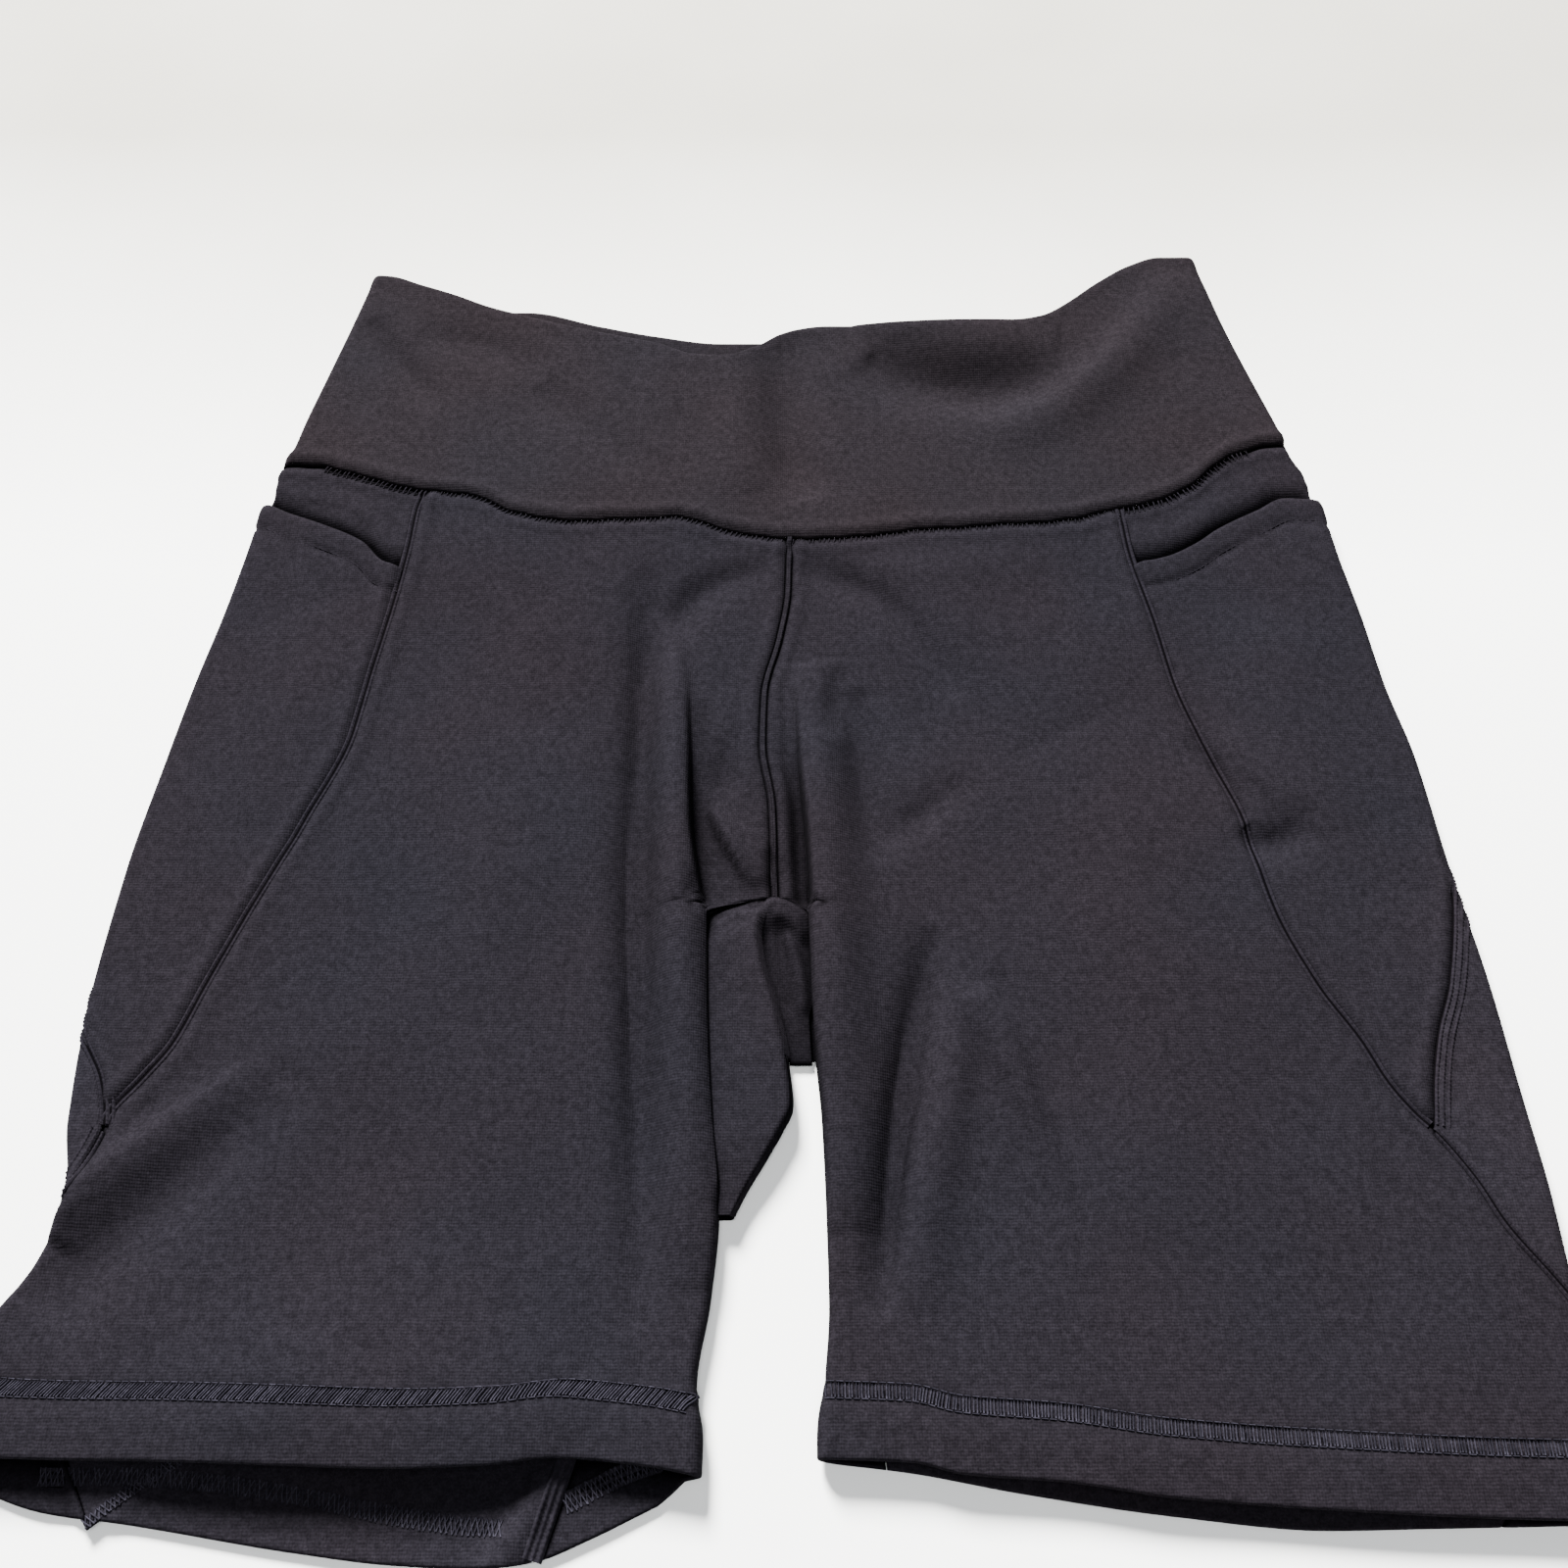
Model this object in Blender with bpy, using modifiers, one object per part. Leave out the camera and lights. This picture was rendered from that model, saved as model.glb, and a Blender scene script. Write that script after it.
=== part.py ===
"""Cycling shorts laid flat on their back layer, front side up.

Metres, Z up. X runs across the shorts, Y runs up to the waist, and the origin is at the middle of the
bounding box's underside. Left and right are as seen from above, looking at the front.

Every piece is an open sheet of points, thickened both ways. The sheets follow one set of rings: each ring
runs over the front layer, round the outer fold and along the back layer, and below the crotch round the inner
fold too.
Sizes and tables are in millimetres.
"""
import bpy
import bmesh
import numpy as np
from math import sin, cos, pi, exp, copysign

MM = 0.001
ORIGIN = (0.4, -2.0)      # middle of the outline in the tables' own numbers

# Cloth and seams
PANEL_WALL = 1.2          # knit of the panels
HEM_WALL = 2.2            # panel cloth where the hem is turned up
BAND_WALL = 2.0           # doubled cloth of the waistband
POCKET_WALL = 1.0         # inner pocket layer
SEAM_GAP = 0.34           # between two pieces that are sewn together
FOLD_GAP = 0.20           # more on each side of a seam where it crosses the outer fold
HEM_DEPTH = 21.0          # turned hem, from the edge to its stitching

# Folds at the edges of the flat garment
FOLD_DEPTH = 2.4          # how far a fold's round reaches in from the outline
FOLD_ARC = 3.6            # length of cloth in a quarter of the round
POCKET_INSET = 1.9        # how far the inner pocket layer lies inside the outer cloth

# Levels that split the length. Y of the straight ones; the others follow the tables below.
LEG_LEVEL = -160.0
HIP_LEVEL = 40.0
CROTCH = -54.0            # top of the gusset, where the centre front seam ends
FORK = -110.0             # bottom of the gusset, where the legs part
TONGUE_END = -160.0       # end of the gusset's tongue on the left leg
V_TIP = -133.0            # lower point of the side panels

# Outline of the flat garment. Columns: y, x of the left outer fold, x of the right outer fold.
OUTER_FOLDS = (
    (256, -160, 184), (237, -163, 187), (210, -168, 192), (180, -174, 199), (155, -179, 205),
    (138, -182, 209), (128, -186, 213), (117, -187, 215), (108, -189, 217), (88, -192, 219),
    (60, -196, 223), (30, -201, 226), (0, -205, 231), (-45, -210, 234), (-90, -212, 238),
    (-130, -210, 240), (-155, -205, 241), (-172, -209, 241), (-195, -222.5, 241), (-222, -240, 241),
    (-256, -241, 239),
)

# Inner fold of each front panel. Columns: y, x at the left, x at the right.
# On the left it is a sharp fold above the gusset's tongue, and the leg's own edge below the tongue.
PANEL_INNER_FOLDS = (
    (30, -23, 14), (0, -21.5, 15), (-30, -20, 17.5), (-60, -15.5, 19), (-90, -14.5, 20),
    (-110, -13.5, 21), (-130, -12, 22.7), (-160, -9.4, 23.8), (-185, -11.5, 24.2), (-207, -14.8, 22.6),
    (-222, -13.5, 21), (-256, -13, 20),
)

# Edge of the gusset's tongue, the left leg's outline between the fork and the tongue's end. Columns: y, x.
TONGUE_EDGE = ((-54, 6), (-66, 2), (-80, 4), (-94, 8), (-108, 11), (-126, 13), (-133, 10), (-142, 5),
               (-152, -1), (-160, -5), (-166, -8))

# Centre front seam. Columns: y, x.
CENTRE_FRONT = ((110, 13), (70, 12), (50, 9), (25, 3.5), (5, 3), (-20, 6.5), (-54, 7.5))
GUSSET_CORNER_DROP = 8.0  # how much lower the gusset's front corners lie than its point

# Seams between front and back. Columns: y, how far in from the outer fold along the cloth, left and right.
# Below the side panels' points it is the one side seam. Past the fold, on the back layer, it is below 0.
FRONT_SIDE_SEAM = (
    (135, 58, 78), (90, 62, 80), (50, 63, 78), (10, 64, 75), (-25, 57, 67), (-60, 46, 64), (-85, 38, 57),
    (-105, 31, 47), (-118, 22, 42), (-128, 14, 36), (-134, 12, 31), (-148, 4, 23), (-162, -5, 17),
    (-180, -18, 5), (-205, -38, -10), (-256, -70, -42),
)
BACK_SIDE_SEAM = (
    (135, -34, -36), (50, -26, -22), (0, -19, -8), (-50, -11, 2), (-86, -4, 14), (-103, 1, 22),
    (-118, 9, 27), (-128, 11.5, 29.5), (-134, 12, 31),
)

# Inseams on the back layer, and above the fork the gusset's back edges. Columns: y, left x, right x.
INSEAMS = (
    (-44, 7.5, 7.5), (-110, -2, 27), (-138, -2, 29), (-160, -15, 31), (-185, -30, 34), (-210, -44, 37),
    (-256, -59, 42),
)
CENTRE_BACK_X = 7.5
GUSSET_BACK_POINT = -44.0

# Edges that run across. Columns: x, y.
TOP_FRONT = ((-170, 238), (-156, 237), (-143, 232), (-128, 226), (-113, 219), (-96, 213), (-74, 206),
             (-41, 197), (-27, 191), (-12, 190), (-2, 195), (10, 203.5), (28, 207), (60, 206.5),
             (104, 208), (117, 212), (128, 220), (144, 234), (158, 244), (171, 249), (186, 249))
TOP_BACK = ((-170, 238), (-156, 237), (-143, 232), (-113, 221), (-97, 221), (-67, 213), (-42, 207),
            (-16, 203), (10, 203), (60, 204), (104, 207), (128, 220), (158, 243), (171, 249), (186, 250))
BAND_SEAM_FRONT = ((-186, 131), (-170, 130), (-145, 122.5), (-115, 114.5), (-85, 107.5), (-50, 103),
                   (-20, 99), (15, 95.5), (50, 96.5), (90, 100), (125, 105), (155, 114), (182, 131),
                   (198, 139.5), (212, 142))
BAND_SEAM_BACK_LOW = (10, 112)   # lowest point of the band's seam on the back: x, y
BAND_SEAM_BACK_RISE = {-1: 19, 1: 30}   # how much it has risen at the left and right outer folds
BACK_HALF_WIDTH = 199
LEFT_HEM_FRONT = ((-244, -222), (-205, -227), (-132, -229), (-97, -230), (-71, -229), (-53, -227),
                  (-28, -229), (-11, -232))
LEFT_HEM_BACK = ((-244, -222), (-221, -231), (-194, -240), (-170, -243), (-123, -250), (-96, -253),
                 (-72, -254), (-56, -252), (-43, -247), (-30, -241), (-11, -232))
RIGHT_HEM_FRONT = ((19, -227), (46, -228), (60, -231), (88, -233), (118, -237), (180, -241), (204, -242),
                   (243, -243))
RIGHT_HEM_BACK = ((19, -227), (46, -230), (75, -235), (118, -241), (160, -244.5), (188, -244), (243, -243))
# Pocket openings. Columns: how far in from the outer fold, y at the left, y at the right.
POCKET_OPENING = ((-40, 111, 112), (0, 111, 113), (14, 106, 114), (27, 101, 108), (44, 93, 99), (54, 84, 92),
                  (66, 80, 86), (82, 78, 82))

# Height of the front layer's middle above the table, before its folds. Columns: y, at the left, at the right.
FRONT_HEIGHT = (
    (256, 6.0, 6.0), (200, 6.5, 6.5), (135, 8.0, 8.0), (100, 8.2, 8.2), (60, 6.0, 6.0), (0, 5.0, 5.0),
    (-60, 5.0, 5.0), (-120, 5.2, 5.0), (-180, 6.5, 5.6), (-222, 8.0, 6.8), (-256, 8.0, 6.8),
)

# Largest folds of the front layer. Columns: start, middle and end (x, y), half width, height (trough below 0).
FOLDS = (
    ((-30, 40), (-22, -50), (-13, -175), 14, 5.5),       # left leg's inner ridge
    ((-47, 75), (-52, -60), (-38, -185), 13, -1.6),      # soft trough beside it
    ((20, 25), (27, -60), (32, -150), 15, 5.5),          # right leg's inner ridge
    ((55, -65), (46, -130), (38, -185), 6, -2.4),        # crease down the right leg
    ((72, -90), (84, -118), (92, -150), 8, 1.8),         # ridge between the right leg's creases
    ((-212, -165), (-196, -148), (-150, -112), 9, 3.0),  # ridge below the left side panel's point
    ((-205, -190), (-185, -165), (-145, -125), 10, -1.6),
    ((-170, -238), (-115, -215), (-60, -238), 34, 4.0),  # open mouth of the left leg
    ((12, 190), (12, 150), (20, 112), 11, -2.0),         # trough down the middle of the waistband
    ((30, 215), (78, 196), (118, 186), 24, 4.0),         # open mouth of the waist
    ((52, 190), (85, 172), (118, 178), 13, -4.0),        # hollow below it
    ((88, 150), (135, 178), (178, 240), 12, 2.6),        # ridge up to the right corner
    ((-158, 205), (-148, 190), (-128, 165), 7, -1.8),    # crease at the left corner
    ((-100, 105), (-70, 60), (-62, -10), 24, 1.4),       # fullness of the left hip
    ((40, 80), (80, 50), (110, 10), 24, 1.6),            # fullness of the right hip
)

# Columns: y, how far the valley of the crotch is sunk (0 to 1), height of its floor.
VALLEY = ((40, 0.0, 6.5), (5, 0.45, 6.0), (-25, 0.85, 5.8), (-54, 1.0, 5.6))
STEP_WIDTH = 4.0          # width of the steep sides of the valley
TONGUE_HEIGHT = 6.0       # middle of the gusset's tongue above the table
HOLLOW_HEIGHT = 3.0       # middle of the gusset beside the tongue
FOLD_CURL = 1.3           # cloth turned under past a fold that lies over the gusset

# Where one layer lies on another, near the crotch
FRONT_LEAST = 4.6         # least height of the front layer's middle
SIDE_BLEND = 60.0         # half the width over which the left's height passes into the right's
VALLEY_BOTTOM = -62.0     # lowest and highest y of the valley of the crotch
VALLEY_TOP = 40.0
FOLD_REST_BLEND = 12.0    # length over which a fold climbs onto the gusset
LEFT_FOLD_REST = 7.2      # how much higher the left front's fold rests on the tongue than on the back
RIGHT_FOLD_REST = 5.0     # and the right front's fold beside the gusset
GUSSET_TUCK = 3.0         # how far the gusset's sides lie under the fronts' folds
TONGUE_TIP_SHIFT = 4.9    # how far the tongue's side comes out from under the fold at its tip
TONGUE_TIP_Y = -138.0
TONGUE_DROP = 1.6         # how much lower the tongue's tip lies
TONGUE_DROP_Y = -135.0
FORK_SIDE_SHIFT = 4.6     # how far the gusset's right side comes out towards the fork
FORK_SIDE_Y = -84.0

# Columns and rows: places where the search for a point's height starts, and how often it is repeated
FRONT_MIDDLE_X = 120.0
BACK_MIDDLE_X = 100.0
POCKET_MIDDLE_X = 190.0
SEARCH_STEPS = 4

# Numbers of columns and rows in each sheet
DENSITY_AT_FOLDS = 7.0    # extra columns where a ring turns
EDGE_STEP = 0.3           # first step in from a seam, so that both walls stand square to it
PANEL_COLUMNS = 22
STRIP_COLUMNS = 5
BACK_COLUMNS = 11
SIDE_COLUMNS = 17
BAND_COLUMNS = 36
BAND_BACK_COLUMNS = 16

# Name: base colour, roughness
KNIT = ("black_knit", (0.035, 0.032, 0.040, 1.0), 0.86)
BAND_KNIT = ("band_knit", (0.038, 0.033, 0.038, 1.0), 0.88)
INNER_KNIT = ("pocket_knit", (0.030, 0.028, 0.034, 1.0), 0.90)


def clear_scene():
    for thing in list(bpy.data.objects):
        bpy.data.objects.remove(thing, do_unlink=True)


def smooth_step(value):
    value = min(max(value, 0.0), 1.0)
    return value * value * (3 - 2 * value)


class Curve:
    """Smooth line through a table's rows that never overshoots them."""

    def __init__(self, rows, column=1):
        rows = sorted(rows)
        self.places = np.array([float(row[0]) for row in rows])
        self.values = np.array([float(row[column]) for row in rows])
        steps = np.diff(self.places)
        slopes = np.diff(self.values) / steps
        tangents = np.zeros(len(rows))
        tangents[0] = slopes[0]
        tangents[-1] = slopes[-1]
        for i in range(1, len(rows) - 1):
            before, after = slopes[i - 1], slopes[i]
            if before * after > 0:
                tangents[i] = 2 * before * after / (before + after)
        self.tangents = tangents

    def __call__(self, place):
        place = min(max(place, self.places[0]), self.places[-1])
        i = int(min(max(np.searchsorted(self.places, place) - 1, 0), len(self.places) - 2))
        step = self.places[i + 1] - self.places[i]
        t = (place - self.places[i]) / step
        start, end = self.values[i], self.values[i + 1]
        return float(start * (2 * t**3 - 3 * t**2 + 1) + end * (3 * t**2 - 2 * t**3)
                     + step * self.tangents[i] * (t**3 - 2 * t**2 + t)
                     + step * self.tangents[i + 1] * (t**3 - t**2))


def both_sides(rows):
    return {LEFT: Curve(rows, 1), RIGHT: Curve(rows, 2)}


def back_band_seam(x):
    low_x, low_y = BAND_SEAM_BACK_LOW
    side = LEFT if x < low_x else RIGHT
    return low_y + BAND_SEAM_BACK_RISE[side] * min(((x - low_x) / BACK_HALF_WIDTH)**2, 1.0)


LEFT, RIGHT = -1, 1
outer_fold = both_sides(OUTER_FOLDS)
inner_fold = both_sides(PANEL_INNER_FOLDS)
front_side_seam = both_sides(FRONT_SIDE_SEAM)
back_side_seam = both_sides(BACK_SIDE_SEAM)
inseam = both_sides(INSEAMS)
base_height = both_sides(FRONT_HEIGHT)
pocket_opening = both_sides(POCKET_OPENING)
tongue_edge = Curve(TONGUE_EDGE)
centre_front = Curve(CENTRE_FRONT)
valley_depth = Curve(VALLEY, 1)
valley_floor = Curve(VALLEY, 2)
top_edge = {"front": Curve(TOP_FRONT), "back": Curve(TOP_BACK)}
front_band_seam = Curve(BAND_SEAM_FRONT)
band_seam = {"front": front_band_seam, "back": back_band_seam}
hem_edge = {
    (LEFT, "front"): Curve(LEFT_HEM_FRONT), (LEFT, "back"): Curve(LEFT_HEM_BACK),
    (RIGHT, "front"): Curve(RIGHT_HEM_FRONT), (RIGHT, "back"): Curve(RIGHT_HEM_BACK),
}


def fold_paths():
    """Each fold as a row of points on a smooth bend through its start, middle and end."""
    share = np.linspace(0, 1, 13)[:, None]
    paths = []
    for start, middle, end, half_width, height in FOLDS:
        start, middle, end = np.array(start, float), np.array(middle, float), np.array(end, float)
        control = 2 * middle - (start + end) / 2
        points = (1 - share)**2 * start + 2 * share * (1 - share) * control + share**2 * end
        paths.append((points, np.sin(pi * share[:, 0])**0.6, half_width, height))
    return paths


FOLD_PATHS = fold_paths()


def fold_height(x, y):
    total = 0.0
    for points, taper, half_width, height in FOLD_PATHS:
        distance = np.hypot(points[:, 0] - x, points[:, 1] - y)
        nearest = int(np.argmin(distance))
        total += height * taper[nearest] * exp(-(distance[nearest] / half_width)**2)
    return total


def sheet_height(x, y):
    """Middle of the front layer above the table, without the valley of the crotch."""
    share = smooth_step((x + SIDE_BLEND) / (2 * SIDE_BLEND))
    low = base_height[LEFT](y) * (1 - share) + base_height[RIGHT](y) * share
    return max(low + fold_height(x, y), FRONT_LEAST)


def front_height(x, y):
    """Middle of the front layer above the table."""
    height = sheet_height(x, y)
    if y < VALLEY_BOTTOM or y > VALLEY_TOP:
        return height
    into_left = smooth_step((x - inner_fold[LEFT](y) + STEP_WIDTH) / STEP_WIDTH)
    into_right = smooth_step((inner_fold[RIGHT](y) + STEP_WIDTH - x) / STEP_WIDTH)
    sunk = into_left * into_right * valley_depth(y)
    return height * (1 - sunk) + valley_floor(y) * sunk


def wall_at(side, x, y, layer):
    """Thickness of a panel's wall: doubled over the turned hem."""
    edge = hem_edge[side, layer](x)
    return HEM_WALL if y < edge + HEM_DEPTH + 0.5 else PANEL_WALL


def fold_round(reach):
    """How far a point lies in from a fold's outline, and how far up its round (0 to 1)."""
    angle = min(abs(reach) / FOLD_ARC, 1.0) * pi / 2
    return FOLD_DEPTH * (1 - cos(angle)) + max(abs(reach) - FOLD_ARC, 0.0), sin(angle)


def outer_point(side, reach, y, low, inset=0.0):
    """Point on the ring, by its distance along the cloth from the outer fold; below 0 it is on the back."""
    depth, rise = fold_round(reach)
    x = outer_fold[side](y) - side * (depth + inset * (1 - rise**2)**0.5)
    top = front_height(x, y)
    middle, half = (top + low) / 2, (top - low) / 2 - inset
    return x, middle + copysign(rise, reach) * half


def reach_of(side, x, y):
    """Distance along the cloth from the outer fold to a place x on either layer."""
    return side * (outer_fold[side](y) - x) - FOLD_DEPTH + FOLD_ARC


def half_gap(reach):
    """Half the gap at a side seam, a little wider where the seam runs over the outer fold."""
    return SEAM_GAP / 2 + FOLD_GAP * exp(-(reach / FOLD_ARC)**2)


def spread(start, end, turns, count):
    """Places from start to end, closer together at the turns, with a short step at each end."""
    step = copysign(EDGE_STEP, end - start)
    places = np.linspace(start + step, end - step, 160)
    weight = np.ones(160)
    for turn in turns:
        weight += DENSITY_AT_FOLDS * np.exp(-((places - turn) / FOLD_ARC)**2)
    total = np.concatenate(([0.0], np.cumsum((weight[1:] + weight[:-1]) / 2)))
    inner = np.interp(np.linspace(0, total[-1], count - 2), total, places)
    return [start] + [float(v) for v in inner] + [end]


def level_y(side, level, x, layer):
    """Y of a level: 0 is the hem, 1 the straight line across the leg, 2 the hip and 3 the band's seam."""
    if level <= HEM_LEVEL:
        return hem_edge[side, layer](x) + HEM_DEPTH * level / HEM_LEVEL
    if level <= 1:
        share = (level - HEM_LEVEL) / (1 - HEM_LEVEL)
        return (hem_edge[side, layer](x) + HEM_DEPTH) * (1 - share) + LEG_LEVEL * share
    if level <= 2:
        return LEG_LEVEL * (2 - level) + HIP_LEVEL * (level - 1)
    return HIP_LEVEL * (3 - level) + (band_seam[layer](x) - SEAM_GAP / 2) * (level - 2)


def band_y(share, x, layer):
    """Y inside the waistband, from its seam (0) to its top edge (1)."""
    return (band_seam[layer](x) + SEAM_GAP / 2) * (1 - share) + top_edge[layer](x) * share


def node_name(piece, side):
    return piece + ("_left" if side == LEFT else "_right")


def material_of(kind):
    name, colour, roughness = kind
    material = bpy.data.materials.get(name)
    if material is None:
        material = bpy.data.materials.new(name)
        material.use_nodes = True
        shader = material.node_tree.nodes["Principled BSDF"]
        shader.inputs["Base Color"].default_value = colour
        shader.inputs["Roughness"].default_value = roughness
        shader.inputs["Metallic"].default_value = 0.0
        material.diffuse_color = colour
    return material


def thick_sheet(name, grids, wall, kind, collection, hem_side=None):
    """Makes one closed wall from grids of points that share their common edges.

    A grid is rows of (x, y, z) or None where the cut leaves cloth away. Panels with a hem are thicker there.
    """
    shape = bmesh.new()
    places = {}
    walls = {}

    def corner(point):
        key = tuple(round(v * 100) for v in point[:3])
        if key not in places:
            x, y, z = point[:3]
            places[key] = shape.verts.new(((x - ORIGIN[0]) * MM, (y - ORIGIN[1]) * MM, z * MM))
            walls[places[key]] = point[3] if len(point) > 3 else wall
        return places[key]

    for grid in grids:
        for lower, upper in zip(grid[:-1], grid[1:]):
            for i in range(len(lower) - 1):
                ring = [lower[i], lower[i + 1], upper[i + 1], upper[i]]
                if any(point is None for point in ring):
                    continue
                corners = []
                for point in ring:
                    vertex = corner(point)
                    if vertex not in corners:
                        corners.append(vertex)
                if len(corners) > 2:
                    shape.faces.new(corners)
    bmesh.ops.recalc_face_normals(shape, faces=shape.faces[:])
    shape.verts.index_update()
    thickness = [walls[vertex] for vertex in shape.verts]
    mesh = bpy.data.meshes.new(name)
    shape.to_mesh(mesh)
    shape.free()
    body = bpy.data.objects.new(name, mesh)
    collection.objects.link(body)
    mesh.materials.append(material_of(kind))
    solid = body.modifiers.new("wall", "SOLIDIFY")
    solid.thickness = max(thickness) * MM
    solid.offset = 0.0
    if max(thickness) - min(thickness) > 0.01:
        group = body.vertex_groups.new(name="wall")
        for index, value in enumerate(thickness):
            group.add([index], value / max(thickness), "REPLACE")
        solid.vertex_group = "wall"
    mesh.shade_smooth()
    return body


# Rows of points, the same on both sides of each seam
HEM_LEVEL = 0.3
LEG_LEVELS = (0, 0.15, HEM_LEVEL, 0.33, 0.44, 0.55, 0.6, 0.65, 0.7, 0.75, 0.8, 0.88)
BODY_YS = (-160, -155, -150, -144, -138, -133, -128.5, -124, -110, -96, -82, -70, -62, -58, -54, -44,
           -37, -30, -14, 4, 22, 40)
HIP_LEVELS = (2.3, 2.65, 3.0)


def panel_rows():
    """Rows of a leg's panels, from hem to band, as levels."""
    body = [1 + (y - LEG_LEVEL) / (HIP_LEVEL - LEG_LEVEL) for y in BODY_YS]
    return list(LEG_LEVELS) + body + list(HIP_LEVELS)


def strip_start(side):
    """Y below which the front panel turns round the inner fold to the back."""
    return TONGUE_END if side == LEFT else FORK


def resting_level(side, y):
    """Middle of what a front panel's inner fold comes down to."""
    climb = LEFT_FOLD_REST if side == LEFT else RIGHT_FOLD_REST
    return PANEL_WALL / 2 + climb * smooth_step((y - strip_start(side)) / FOLD_REST_BLEND)


def back_middle(side, x, y):
    return wall_at(side, x, y, "back") / 2


def front_panel(side, collection):
    rows = [front_panel_row(side, level) for level in panel_rows()]
    return thick_sheet(node_name("front_panel", side), [rows], PANEL_WALL, KNIT, collection)


def front_panel_row(side, level):
    y = level_y(side, level, side * FRONT_MIDDLE_X, "front")
    sewn_to_centre = y >= CROTCH - 0.01
    strip = y < strip_start(side) + 0.01
    row = [front_panel_point(side, level, share, "main") for share in range(PANEL_COLUMNS)]
    if strip and not sewn_to_centre:
        row += [front_panel_point(side, level, share, "strip") for share in range(1, STRIP_COLUMNS)]
    else:
        row += [None] * (STRIP_COLUMNS - 1)
    return row


def spread_front(side, y):
    """Distances along the cloth, from the side seam to the panel's inner edge, for one height."""
    gap = SEAM_GAP / 2
    start = front_side_seam[side](y)
    start += half_gap(start)
    fold_reach = reach_of(side, inner_fold[side](y), y) + FOLD_ARC - FOLD_DEPTH
    if y >= CROTCH - 0.01:
        end = reach_of(side, centre_front(y) + side * gap, y)
    else:
        corner = centre_front(CROTCH) + side * gap
        slide = min((CROTCH - y) / GUSSET_CORNER_DROP, 1.0)
        end = (1 - slide) * reach_of(side, corner, y) + slide * reach_of(side, inner_fold[side](y), y)
        if y < CROTCH - GUSSET_CORNER_DROP + 0.01:
            end = fold_reach + FOLD_CURL
    return start, end, fold_reach


def front_panel_point(side, level, index, part):
    """One point of a front panel, found by going round its ring at the right height."""
    layer = "front"
    x = side * FRONT_MIDDLE_X
    for _ in range(SEARCH_STEPS):
        y = level_y(side, level, x, layer)
        start, end, fold_reach = spread_front(side, y)
        if part == "main":
            turns = [0.0] if y > VALLEY_TOP - 5 else [0.0, fold_reach]
            reach = spread(start, end, turns, PANEL_COLUMNS)[index]
        else:
            seam_x = inseam[side](y) - side * SEAM_GAP / 2
            last = fold_reach + FOLD_ARC - FOLD_DEPTH + side * (seam_x - inner_fold[side](y))
            turn_end = fold_reach + FOLD_ARC
            places = [end, fold_reach + 0.7 * FOLD_ARC, turn_end] + list(
                np.linspace(turn_end, last, STRIP_COLUMNS - 2)[1:])
            reach = places[index]
        rolled = y < CROTCH - GUSSET_CORNER_DROP + 0.01
        if rolled and reach > fold_reach / 2:
            depth, rise = fold_round(fold_reach - reach)
            x = inner_fold[side](y) + side * depth
            low = resting_level(side, y)
            if low < PANEL_WALL:
                low = back_middle(side, x, y)
            top = sheet_height(x, y)
            z = (top + low) / 2 + copysign(rise, fold_reach - reach) * (top - low) / 2
            layer = "front" if reach <= fold_reach else "back"
        else:
            x, z = outer_point(side, reach, y, back_middle(side, outer_fold[side](y), y))
            layer = "front" if reach >= 0 else "back"
            if reach <= -FOLD_ARC:
                z = back_middle(side, x, y)
    return x, y, z, wall_at(side, x, y, layer)


def back_panel(side, collection):
    """Leg's back, from the side seam to the inseam, the gusset and the centre back seam."""
    rows = [[back_panel_point(side, level, index) for index in range(BACK_COLUMNS)] for level in panel_rows()]
    return thick_sheet(node_name("back_panel", side), [rows], PANEL_WALL, KNIT, collection)


def back_panel_point(side, level, index):
    gap = SEAM_GAP / 2
    layer = "back"
    x = side * BACK_MIDDLE_X
    for _ in range(SEARCH_STEPS):
        y = level_y(side, level, x, layer)
        seam = back_side_seam if y > V_TIP else front_side_seam
        start = seam[side](y)
        start -= half_gap(start)
        inner_x = CENTRE_BACK_X + side * gap if y >= GUSSET_BACK_POINT - 0.01 else inseam[side](y) + side * gap
        end = -reach_of(side, inner_x, y)
        reach = spread(start, end, [0.0], BACK_COLUMNS)[index]
        x, z = outer_point(side, reach, y, back_middle(side, outer_fold[side](y), y))
        layer = "front" if reach >= 0 else "back"
        if reach <= -FOLD_ARC:
            z = back_middle(side, x, y)
    return x, y, z, wall_at(side, x, y, layer)


SIDE_TOP_SHARES = (0.45, 0.85, 1.0)   # rows between the hip and the pocket opening
SIDE_POINT = V_TIP + 4.5


def side_panel_reach(side, y, index):
    start, end = front_side_seam[side](y), back_side_seam[side](y)
    start, end = start - half_gap(start), end + half_gap(end)
    if start - end < 2.0:
        start, end = (start + end) / 2 + 1.0, (start + end) / 2 - 1.0
    return spread(start, end, [0.0], SIDE_COLUMNS)[index]


def side_panel(side, collection):
    """Outer side panel, from its lower point up to the hemmed pocket opening, round the outer fold."""
    rows = []
    straight = [SIDE_POINT] + [y for y in BODY_YS if y > SIDE_POINT]
    for base, share in [(y, 0.0) for y in straight] + [(HIP_LEVEL, share) for share in SIDE_TOP_SHARES]:
        row = []
        for index in range(SIDE_COLUMNS):
            reach = 0.0
            for _ in range(SEARCH_STEPS):
                y = base * (1 - share) + pocket_opening[side](reach) * share
                reach = side_panel_reach(side, y, index)
            x, z = outer_point(side, reach, y, PANEL_WALL / 2)
            row.append((x, y, z))
        rows.append(row)
    return thick_sheet(node_name("side_panel", side), [rows], PANEL_WALL, KNIT, collection)


POCKET_TUCK = 16.0        # how far the pocket layer reaches below the opening


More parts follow.
